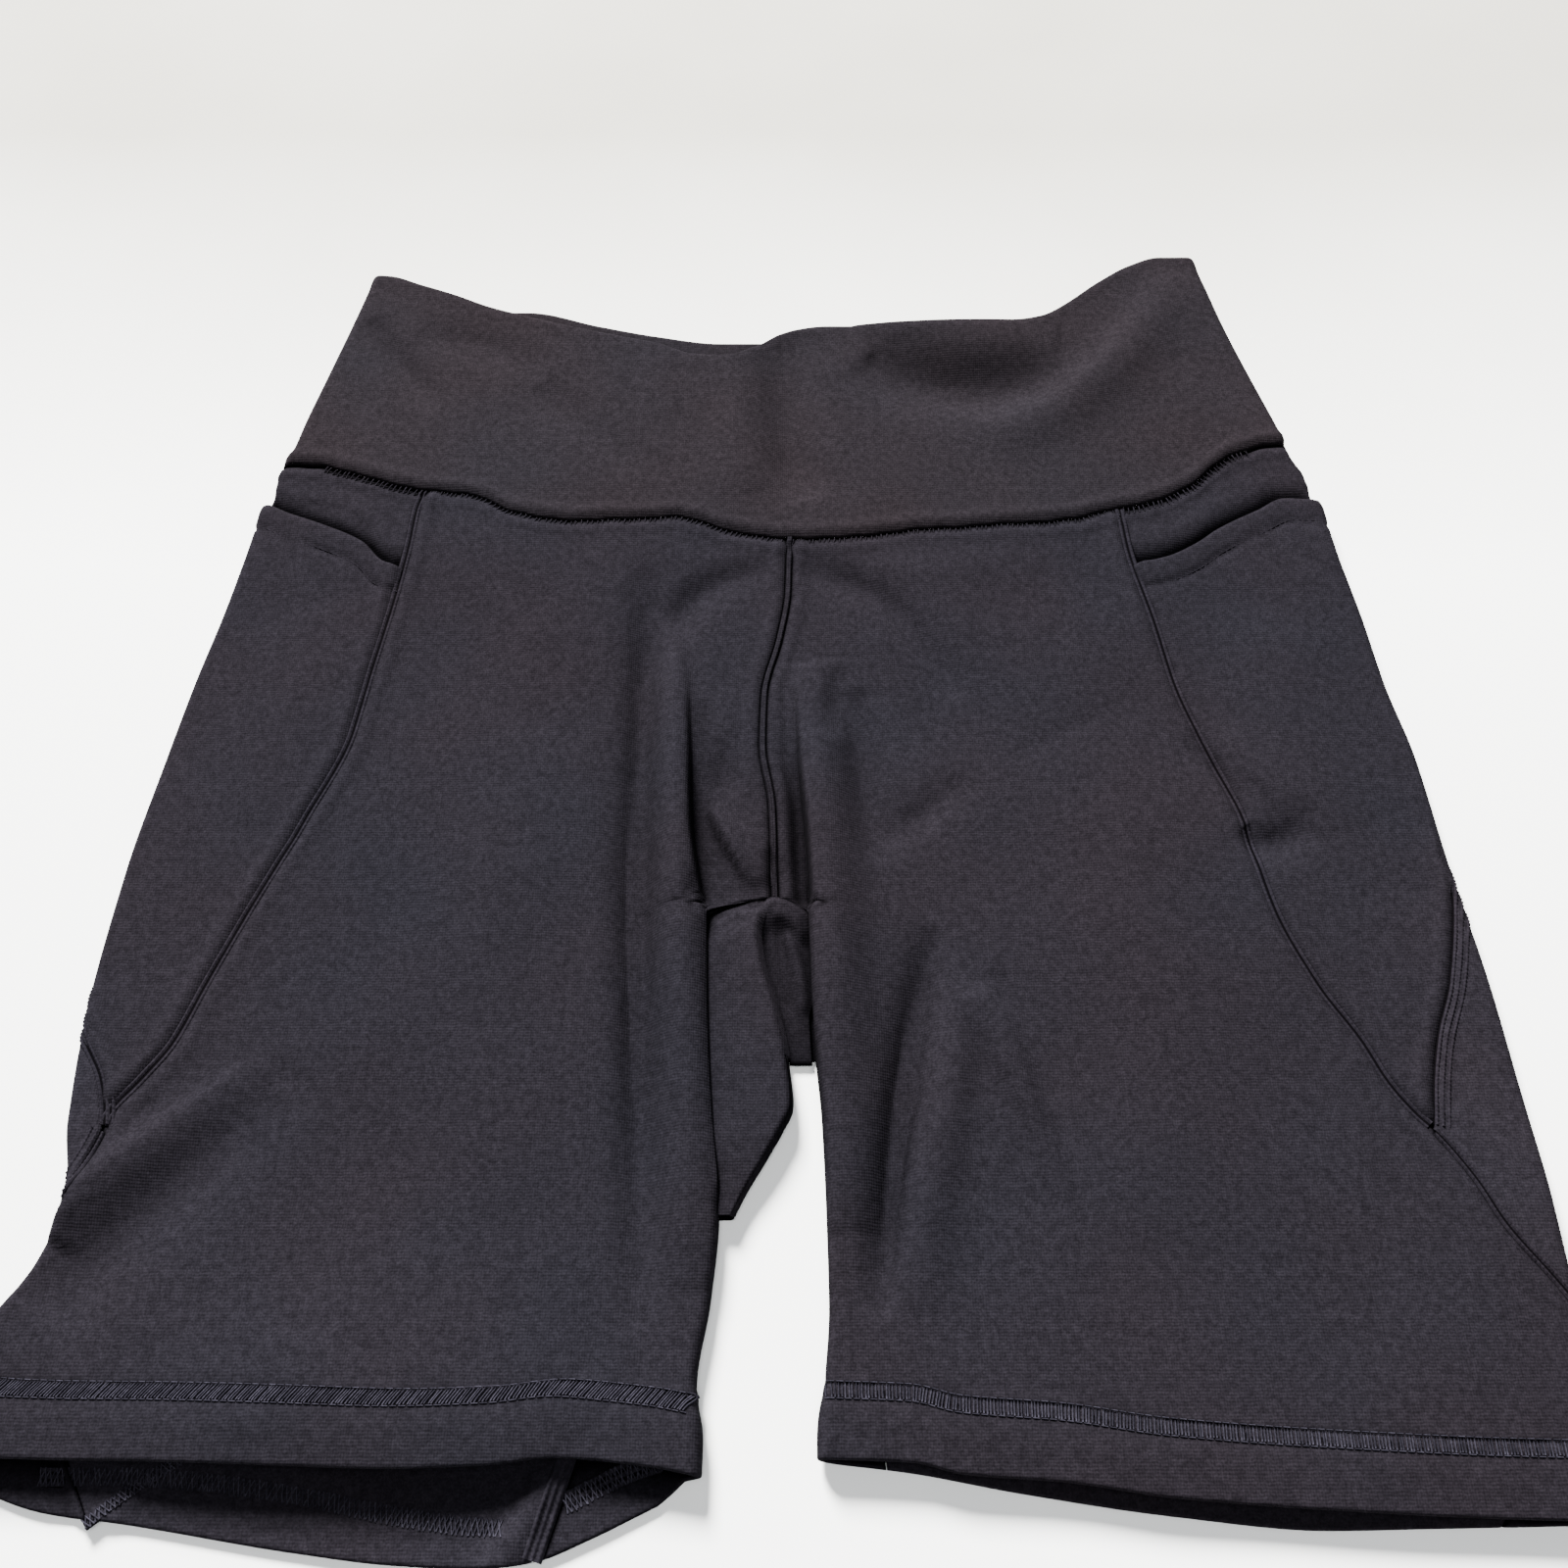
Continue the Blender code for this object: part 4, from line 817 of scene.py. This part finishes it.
def gusset():
    share = np.linspace(0, 1, 34)[:, None]
    left = np.linspace(0, 1, GUSSET_LEFT)[None]
    right = np.linspace(0, 1, GUSSET_RIGHT)[None]
    y_left, y_right = np.full((34, GUSSET_LEFT), FORK), np.full((34, GUSSET_RIGHT), FORK)
    for _ in range(4):
        x_left = tongue_left(y_left) * (1 - left) + (tongue_edge(y_left) - FOLD_DEPTH * 0.4) * left
        x_right = (tongue_edge(y_right) + 1.0) * (1 - right) + gusset_right(y_right) * right
        seam_left = CROTCH - SEAM_GAP * 1.5 - CORNER_DROP * corner_share(x_left)
        seam_right = CROTCH - SEAM_GAP * 1.5 - CORNER_DROP * corner_share(x_right)
        y_left = (FORK + 0.2) * (1 - share) + seam_left * share
        y_right = (FORK + 0.2) * (1 - share) + seam_right * share
    sunk = smooth_step((share - 0.75) / 0.25)
    z_left = tongue_height(y_left)
    z_left = z_left * (1 - sunk) + np.minimum(valley_floor(CROTCH), z_left + 2.5) * sunk
    z_right = HOLLOW_HEIGHT * (1 - sunk) + 5.5 * sunk * np.ones_like(x_right)
    # small puckers below the crotch seam, and the crumpled cloth of the hollow
    for x, y, z in ((x_left, y_left, z_left), (x_right, y_right, z_right)):
        z += fold_of(x, y, ((-12, -66), (-8, -62), (-2, -60)), 1.6, 1.0)
        z += fold_of(x, y, ((8, -60), (13, -62), (16, -68)), 1.5, 1.2)
        z += fold_of(x, y, ((12, -68), (15, -78), (17, -92)), 1.8, 1.4)
        z += fold_of(x, y, ((9, -66), (10, -76), (12, -90)), 1.6, -0.7)
        z += fold_of(x, y, ((-14, -60), (-6, -57), (2, -57)), 1.0, -0.8)
    front = np.concatenate((np.stack((x_left, y_left, z_left), -1), np.stack((x_right, y_right, z_right), -1)), 1)
    faces = grid_faces(*front.shape[:2])
    points = [front.reshape(-1, 3)]
    count = front.shape[0] * front.shape[1]
    # the tongue, turned down at its edge, with a strip on the back layer
    low = POCKET_WALL / 2
    ys = np.concatenate(((FORK + 0.2,), np.arange(FORK - 1.5, TONGUE_END, -2.0), (TONGUE_END + SEAM_GAP,)))
    rows = []
    for y in ys:
        edge, top = float(tongue_edge(y)), float(tongue_height(y))
        row = [(float(tongue_left(y)) * (1 - t) + (edge - FOLD_DEPTH * 0.4) * t, y, top) for t in left[0]]
        for angle in np.linspace(0.55, pi - 0.2, 8):
            row.append((edge - FOLD_DEPTH * 0.95 * (1 - np.sin(angle)), y, (top + low) / 2 + np.cos(angle) * (top - low) / 2))
        back_edge = min(float(inseam[LEFT](y)) + SEAM_GAP / 2, edge - FOLD_DEPTH - 1.5)
        row += [((edge - FOLD_DEPTH) * (1 - t) + back_edge * t, y, low) for t in (0.25, 0.5, 0.75, 1.0)]
        rows.append(row)
    tongue = np.array(rows)
    tongue[0, :GUSSET_LEFT] = front[0, :GUSSET_LEFT]
    faces += [face[::-1] for face in grid_faces(*tongue.shape[:2], start=count)]
    points.append(tongue.reshape(-1, 3))
    count += tongue.shape[0] * tongue.shape[1]
    # the hollow's cloth round the fork and up the back layer
    first = front[0, GUSSET_LEFT:]
    rows = [first]
    for angle in np.linspace(0.3, pi, 8):
        half = (HOLLOW_HEIGHT - low) / 2
        rows.append(np.stack((first[:, 0], np.full(GUSSET_RIGHT, FORK + 0.2 - 1.0 * np.sin(angle)),
                              (HOLLOW_HEIGHT + low) / 2 + half * np.cos(angle) * np.ones(GUSSET_RIGHT)), -1))
    for y in np.concatenate(((FORK + 1.5,), np.arange(FORK + 4, GUSSET_BACK_POINT - 4, 3.0), (GUSSET_BACK_POINT - 4,))):
        start, end = float(inseam[LEFT](y)) + SEAM_GAP / 2, float(inseam[RIGHT](y)) - SEAM_GAP / 2
        rows.append(np.stack((start * (1 - right[0]) + end * right[0], np.full(GUSSET_RIGHT, y),
                              np.full(GUSSET_RIGHT, low)), -1))
    back = np.stack(rows)
    faces += [face[::-1] for face in grid_faces(*back.shape[:2], start=count)]
    points.append(back.reshape(-1, 3))
    points, faces = weld(np.concatenate(points), faces)
    return build("cloth_gusset", points, faces, [KNIT], None, np.full(len(points), POCKET_WALL), "gusset")


# Seams and stitching

def path_frame(line):
    """Steps and unit directions square to a line of places in the cloth's own plane."""
    step = np.gradient(line, axis=0)
    step /= np.maximum(np.linalg.norm(step, axis=1, keepdims=True), 1e-9)
    return np.stack((-step[:, 1], step[:, 0]), 1)


def resample(line, step):
    line = np.asarray(line, float)
    length = np.concatenate(([0.0], np.cumsum(np.linalg.norm(np.diff(line, axis=0), axis=1))))
    count = max(int(length[-1] / step), 4)
    places = np.linspace(0, length[-1], count)
    return np.stack([np.interp(places, length, line[:, k]) for k in (0, 1)], 1), places


def surface(side, uv):
    """Points on the outer face and normals of places (reach, y) on a leg's ring."""
    near = 0.6
    reach, y = uv[..., 0], uv[..., 1]
    middle = cloth(side, reach, y)
    along = cloth(side, uv[..., 0] + near, uv[..., 1]) - cloth(side, uv[..., 0] - near, uv[..., 1])
    across = cloth(side, uv[..., 0], uv[..., 1] + near) - cloth(side, uv[..., 0], uv[..., 1] - near)
    normal = np.cross(across, along) * side
    normal /= np.maximum(np.linalg.norm(normal, axis=-1, keepdims=True), 1e-9)
    x = middle[..., 0]
    wall = np.where(y < np.where(reach > 0, hem_edge[side, "front"](x), hem_edge[side, "back"](x)) + HEM_DEPTH,
                    HEM_WALL, PANEL_WALL)
    face = wall / 2 + hem_relief(side, reach, x, y)
    return middle + normal * face[..., None], normal


def front_surface(side, uv):
    """Points on the outer face and normals of places (x, y) on the front, away from the outer folds."""
    x, y = uv[..., 0], uv[..., 1]
    near = 0.6
    z = front_height(x, y)
    dx = (front_height(x + near, y) - front_height(x - near, y)) / (2 * near)
    dy = (front_height(x, y + near) - front_height(x, y - near)) / (2 * near)
    normal = np.stack((-dx, -dy, np.ones_like(dx)), -1)
    normal /= np.linalg.norm(normal, axis=-1, keepdims=True)
    wall = np.where(y > front_band_seam(x), BAND_WALL, PANEL_WALL)
    return np.stack((x, y, z), -1) + normal * (wall / 2)[..., None], normal


def ribbon(name, side, line, width, ridges, lift, height, place=surface, shift=0.0, step=0.55, pitch=1.5,
           mats=None):
    """A seam's band: rows of thread with grooves between them, sunk at both edges into the cloth; by default the
    grooves are painted dark as shade.
    """
    line, run = resample(line, step)
    out = path_frame(line)
    across = [-0.5]
    kinds = []
    for k in range(ridges):
        start, end = -0.5 + (k + 0.2) / ridges, -0.5 + (k + 0.8) / ridges
        across += [start, start + (end - start) * 0.25, (start + end) / 2, end - (end - start) * 0.25, end]
        kinds += [0, 1, 1, 1, 1]
    across.append(0.5)
    kinds.append(0)
    across = np.array(across)
    phase = (across + 0.5) * ridges % 1
    bump = np.sqrt(np.maximum(np.sin(pi * np.clip((phase - 0.2) / 0.6, 0, 1)), 0.0))
    uv = line[:, None] + out[:, None] * (across[None, :, None] * width + shift)
    middle, normal = place(side, uv)
    ridge_index = np.floor((across + 0.5) * ridges).clip(0, ridges - 1)
    beat = 0.72 + 0.28 * np.sin(2 * pi * run[:, None] / pitch + 1.9 * ridge_index[None])
    uneven = 1 + 0.15 * np.sin(run[:, None] * 0.31 + ridge_index[None] * 2.0)
    rise = lift + height * bump[None] * beat * uneven
    rise[:, 0] = rise[:, -1] = lift - 0.45
    points = middle + normal * rise[..., None]
    faces = grid_faces(*points.shape[:2])
    face_mats = np.tile(kinds, len(line) - 1)
    return build(name, points, faces, mats or [SEAM_PAINTED_SHADE, CORD], face_mats)


def tubes(name, lines, radius, mats, picks, sides=5):
    """Joins many short threads into one mesh. Each line is an array of points in space."""
    points, faces, face_mats = [], [], []
    count = 0
    ring = np.linspace(0, 2 * pi, sides, endpoint=False)
    for line, pick in zip(lines, picks):
        step = np.gradient(line, axis=0)
        step /= np.maximum(np.linalg.norm(step, axis=1, keepdims=True), 1e-9)
        up = np.array((0.0, 0.0, 1.0))
        one = np.cross(step, up)
        one /= np.maximum(np.linalg.norm(one, axis=1, keepdims=True), 1e-6)
        two = np.cross(one, step)
        tube = (line[:, None] + radius * (np.cos(ring)[None, :, None] * one[:, None]
                                          + np.sin(ring)[None, :, None] * two[:, None]))
        points.append(tube.reshape(-1, 3))
        rows = len(line)
        for r in range(rows - 1):
            for k in range(sides):
                n = (k + 1) % sides
                faces.append((count + r * sides + k, count + r * sides + n, count + (r + 1) * sides + n,
                              count + (r + 1) * sides + k))
                face_mats.append(pick)
        faces.append(tuple(count + k for k in range(sides)))
        faces.append(tuple(count + (rows - 1) * sides + k for k in reversed(range(sides))))
        face_mats += [pick, pick]
        count += rows * sides
    return build(name, np.concatenate(points), faces, mats, face_mats)


def rungs(side, line, width, pitch, height, lift, slant, place=surface, seed=1, tilt_spread=0.25, flip=1.0):
    """Cross threads of a cover stitch, each a low arch over the band's width."""
    dice = np.random.default_rng(seed)
    line, run = resample(line, 0.25)
    out = path_frame(line) * flip
    stations = np.arange(0.6, run[-1] - 0.6, pitch)
    stations = stations + dice.uniform(-0.18, 0.18, len(stations)) * pitch
    share = np.linspace(-0.5, 0.5, 6)
    lines = []
    for station in stations:
        centre = np.array([np.interp(station + slant * s + dice.uniform(-0.04, 0.04), run, line[:, k])
                           for s in share for k in (0, 1)]).reshape(-1, 2)
        side_way = np.array([np.interp(station, run, out[:, k]) for k in (0, 1)])
        reach_out = width * (1 + dice.uniform(-0.12, 0.05))
        uv = centre + side_way[None] * (share * reach_out)[:, None]
        middle, normal = place(side, uv)
        arch = lift + height * np.cos(share * pi)**0.7 * dice.uniform(0.7, 1.15)
        lines.append(middle + normal * arch[:, None])
    picks = (dice.uniform(0, 1, len(lines)) < tilt_spread).astype(int)
    return lines, picks.tolist()


def dashes(side, line, offset, length, gap, lift, place=surface, seed=3):
    """A row of straight stitches along a line."""
    dice = np.random.default_rng(seed)
    line, run = resample(line, 0.25)
    out = path_frame(line)
    lines = []
    for start in np.arange(0.3, run[-1] - length, length + gap):
        at = np.linspace(start, start + length, 4) + dice.uniform(-0.08, 0.08)
        centre = np.stack([np.interp(at, run, line[:, k]) for k in (0, 1)], 1)
        way = np.stack([np.interp(at, run, out[:, k]) for k in (0, 1)], 1)
        middle, normal = place(side, centre + way * offset)
        lines.append(middle + normal * (lift + 0.12 * np.sin(np.linspace(0, pi, 4)))[:, None])
    return lines


def uv_of(side, xy):
    """Cloth places of points seen on the front."""
    xy = np.asarray(xy, float)
    return np.stack((reach_of(side, xy[:, 0], xy[:, 1]), xy[:, 1]), 1)


def seam_line(table, side, low, high, shift=0.0):
    y = np.linspace(low, high, 90)
    return np.stack((table[side](y) + shift, y), 1)


def hem_line(side, start_x, end_x, above):
    x = np.linspace(start_x, end_x, 120)
    y = hem_edge[side, "front"](x) + above
    return np.stack((reach_of(side, x, y), y), 1)


def stitching():
    # front side seams, the back seams beside them and the side seams below the points
    for side, name in ((LEFT, "left"), (RIGHT, "right")):
        top = front_band_seam(side * 135 + 6) - 1
        ribbon("front_seam_" + name, side, seam_line(front_side_seam, side, V_TIP + 1, float(top)), 4.2, 2, -0.42, 0.6)
        low_y = -205.0 if side == RIGHT else -175.0
        ribbon("side_seam_" + name, side, seam_line(front_side_seam, side, low_y, V_TIP - 1), 5.6, 3, -0.2, 0.8,
               shift=1.0 if side == LEFT else -1.0)
        high_y = 0.0 if side == RIGHT else -60.0
        ribbon("back_seam_" + name, side, seam_line(back_side_seam, side, V_TIP + 1, high_y), 5.6, 3, -0.2, 0.8,
               shift=-2.0 if side == LEFT else 2.0)
        across = np.linspace(6, 66, 60)
        line = np.stack((across, pocket_opening[side](across) - 10.5), 1)
        rows = dashes(side, line, 0.0, 1.7, 0.7, -0.35, seed=8)
        tubes("pocket_row_" + name, rows, 0.22, [CORD], [0] * len(rows))
    y = np.linspace(-49, 91, 120)
    ribbon("centre_seam", LEFT, np.stack((centre_front(y), y), 1), 2.8, 2, -0.5, 0.45, place=front_surface,
           mats=[CORD, KNIT])
    x = np.linspace(-168, 192, 300)
    band_line = np.stack((x, front_band_seam(x) - 1.8), 1)
    bars, picks = rungs(LEFT, band_line, 3.0, 2.0, 0.3, -0.2, 0.4, place=front_surface, seed=31)
    tubes("band_bars", bars, 0.28, [CORD, KNIT], picks)
    cover_stitches()
    inner_stitches()
    inner_inseam()


def cover_stitches():
    """Cover stitching of both hems: cross threads between two rows, over a dark groove at each row."""
    for side, name, start_x, end_x in ((LEFT, "left", -236.0, -15.0), (RIGHT, "right", 22.5, 236.0)):
        line = hem_line(side, start_x, end_x, HEM_DEPTH - 2.8)
        ribbon("hem_band_" + name, side, line, 5.8, 1, -0.06, 0.2, pitch=2.1, mats=[CORD, KNIT_PAINTED_LIGHTER])
        lines, picks = rungs(side, line, 4.0, 0.95, 0.22, 0.14, 0.12, seed=11 + side, tilt_spread=0.4)
        tubes("hem_rungs_" + name, lines, 0.25, [THREAD, THREAD_DARK], picks)
        rows = dashes(side, line, 2.3, 1.9, 0.5, 0.12, seed=5) + dashes(side, line, -2.3, 1.9, 0.5, 0.12, seed=6)
        tubes("hem_rows_" + name, rows, 0.22, [THREAD, THREAD_DARK], [k % 2 for k in range(len(rows))])


def inner_surface(side, uv):
    """Inside of the left hem's back layer, for places (x, y)."""
    x, y = uv[..., 0], uv[..., 1]
    z = np.full_like(x, HEM_WALL)
    z += fold_of(x, y, ((-50, -224), (-58, -238), (-69, -256)), 4.5, 2.2)
    z += fold_of(x, y, ((-180, -246), (-170, -236), (-158, -226)), 3.0, 0.8)
    normal = np.zeros(uv.shape[:-1] + (3,))
    normal[..., 2] = 1.0
    return np.stack((x, y, z), -1), normal


INNER_STITCH = ((-196, -231), (-176, -231), (-155, -232), (-123, -236), (-101, -240), (-80, -243), (-66, -244))
INNER_CORNER = ((-50, -238), (-44, -235), (-33, -230), (-24, -227))
INNER_SIDE_SEAM = ((-181, -243), (-172, -236), (-163, -230), (-150, -222))


def inner_stitches():
    """Looper side of the hem's stitching and the side seam, seen inside the open leg."""
    for name, line, width in (("long", INNER_STITCH, 5.6), ("corner", INNER_CORNER, 6.5), ("seam", INNER_SIDE_SEAM, 4.0)):
        curve = Curve(line)
        x = np.linspace(line[0][0], line[-1][0], 80)
        path = np.stack((x, curve(x)), 1)
        ribbon("inner_band_" + name, LEFT, path, width, 3, -0.05, 0.15, place=inner_surface, pitch=1.8,
               mats=[SEAM_PAINTED_SHADE, KNIT_PAINTED_LIGHTER])
        forth, picks = rungs(LEFT, path, width * 0.85, 1.5, 0.25, 0.1, 1.4, place=inner_surface, seed=21, tilt_spread=0.4)
        back, more = rungs(LEFT, path, width * 0.85, 1.5, 0.25, 0.18, -1.4, place=inner_surface, seed=22, tilt_spread=0.4)
        tubes("inner_threads_" + name, forth + back, 0.23, [THREAD, THREAD_DARK], picks + more)


def inner_inseam():
    """Seam allowance of the left inseam, a soft ridge inside the open leg."""
    y = np.linspace(-252, -214, 60)
    path = np.stack((inseam[LEFT](y), y), 1)
    ribbon("inner_inseam", LEFT, path, 5.5, 3, 0.9, 0.5, place=inner_surface, pitch=1.7, mats=[KNIT_PAINTED_LIGHTER, CORD])


def main():
    pieces = {}
    for side in (LEFT, RIGHT):
        name = "left" if side == LEFT else "right"
        pieces["front_panel_" + name] = front_panel(side)
        pieces["back_panel_" + name] = back_panel(side)
        pieces["side_panel_" + name] = side_panel(side)
        pieces["pocket_" + name] = pocket(side)
    pieces["waistband_front"] = waistband_front()
    pieces["waistband_back"] = waistband_back()
    pieces["gusset"] = gusset()
    stitching()
    return pieces


pieces = main()


# Floor, light and camera

def floor():
    mesh = bpy.data.meshes.new("floor")
    half = 3.0
    mesh.from_pydata([(-half, -half, -0.0003), (half, -half, -0.0003), (half, half, -0.0003), (-half, half, -0.0003)],
                     [], [(0, 1, 2, 3)])
    mat = bpy.data.materials.new("pale_floor")
    mat.use_nodes = True
    nodes, links = mat.node_tree.nodes, mat.node_tree.links
    shader = nodes["Principled BSDF"]
    shader.inputs["Roughness"].default_value = 0.8
    shader.inputs["Specular IOR Level"].default_value = 0.2
    place = nodes.new("ShaderNodeTexCoord")
    noise = nodes.new("ShaderNodeTexNoise")
    noise.inputs["Scale"].default_value = 6.0
    noise.inputs["Detail"].default_value = 3.0
    split = nodes.new("ShaderNodeSeparateXYZ")
    links.new(place.outputs["Object"], split.inputs["Vector"])
    # painted shade: the floor's colour darkens towards the back (larger y), down to a warmer grey, with soft blotches
    # from the noise
    painted_shade_drift = nodes.new("ShaderNodeMapRange")
    painted_shade_drift.inputs["From Min"].default_value = 0.05
    painted_shade_drift.inputs["From Max"].default_value = 0.34
    painted_shade_drift.inputs["To Min"].default_value = 1.0
    painted_shade_drift.inputs["To Max"].default_value = 0.0
    links.new(split.outputs["Y"], painted_shade_drift.inputs["Value"])
    cloud = nodes.new("ShaderNodeMath")
    cloud.operation = "MULTIPLY_ADD"
    cloud.inputs[1].default_value = 0.25
    links.new(noise.outputs["Fac"], cloud.inputs[0])
    links.new(painted_shade_drift.outputs["Result"], cloud.inputs[2])
    ramp = nodes.new("ShaderNodeValToRGB")
    ramp.color_ramp.elements[0].position = 0.10
    ramp.color_ramp.elements[0].color = (0.38, 0.367, 0.325, 1)
    ramp.color_ramp.elements[1].position = 1.0
    ramp.color_ramp.elements[1].color = (0.93, 0.94, 0.925, 1)
    links.new(place.outputs["Object"], noise.inputs["Vector"])
    links.new(cloud.outputs[0], ramp.inputs["Fac"])
    links.new(ramp.outputs["Color"], shader.inputs["Base Color"])
    mesh.materials.append(mat)
    body = bpy.data.objects.new("floor", mesh)
    bpy.context.scene.collection.objects.link(body)


def area_light(name, place, target, size, power, colour):
    light = bpy.data.lights.new(name, "AREA")
    light.shape = "DISK"
    light.size = size
    light.energy = power
    light.color = colour
    body = bpy.data.objects.new(name, light)
    body.location = place
    way = np.array(target, float) - np.array(place, float)
    from mathutils import Vector
    body.rotation_euler = Vector(way).to_track_quat("-Z", "Y").to_euler()
    bpy.context.scene.collection.objects.link(body)


def light_and_camera():
    world = bpy.data.worlds.new("studio")
    bpy.context.scene.world = world
    world.use_nodes = True
    world.node_tree.nodes["Background"].inputs["Color"].default_value = (0.95, 0.97, 1.0, 1.0)
    world.node_tree.nodes["Background"].inputs["Strength"].default_value = 0.25
    area_light("key", (-2.4, 6.2, 4.4), (0.0, 0.0, 0.0), 2.6, 7600.0, (1.0, 0.99, 0.97))
    area_light("fill", (0.2, -0.7, 2.6), (0.0, 0.0, 0.0), 1.6, 60.0, (0.97, 0.98, 1.0))
    camera = bpy.data.cameras.new("camera")
    camera.lens = 36.0
    camera.sensor_width = 36.0
    camera.clip_start = 0.01
    body = bpy.data.objects.new("camera", camera)
    body.location = (0.0101, -0.280, 0.475)
    body.rotation_euler = (radians(30), 0.0, 0.0)
    bpy.context.scene.collection.objects.link(body)
    bpy.context.scene.camera = body


# Cut of each cloth piece. Columns: node, width, length and area in metres, what it lies on, seams and stitches on it
SHEETS = (
    ("front_panel_left", 0.300, 0.375, 0.0627, ("back_panel_left", "gusset"),
     ("front_seam_left", "side_seam_left", "centre_seam", "hem_band_left", "hem_rungs_left", "hem_rows_left")),
    ("front_panel_right", 0.280, 0.360, 0.0614, ("back_panel_right", "gusset"),
     ("front_seam_right", "side_seam_right", "hem_band_right", "hem_rungs_right", "hem_rows_right")),
    ("back_panel_left", 0.260, 0.385, 0.0677, ("floor",),
     ("back_seam_left", "inner_band_long", "inner_band_corner", "inner_band_seam", "inner_threads_long",
      "inner_threads_corner", "inner_threads_seam", "inner_inseam")),
    ("back_panel_right", 0.260, 0.385, 0.0759, ("floor",), ("back_seam_right",)),
    ("side_panel_left", 0.100, 0.250, 0.0157, ("pocket_left", "floor"), ("pocket_row_left",)),
    ("side_panel_right", 0.110, 0.250, 0.0170, ("pocket_right", "floor"), ("pocket_row_right",)),
    ("pocket_left", 0.085, 0.066, 0.0037, ("back_panel_left",), ()),
    ("pocket_right", 0.095, 0.078, 0.0047, ("back_panel_right",), ()),
    ("waistband_front", 0.410, 0.160, 0.0425, ("waistband_back",), ("band_bars",)),
    ("waistband_back", 0.378, 0.140, 0.0347, ("floor",), ()),
    ("gusset", 0.075, 0.150, 0.0051, ("floor",), ()),
)


def declare_sheets():
    for node, width, length, area, lies_on, seams in SHEETS:
        lies_on = [name if name == "floor" else "cloth_" + name for name in lies_on]


floor()
declare_sheets()
light_and_camera()
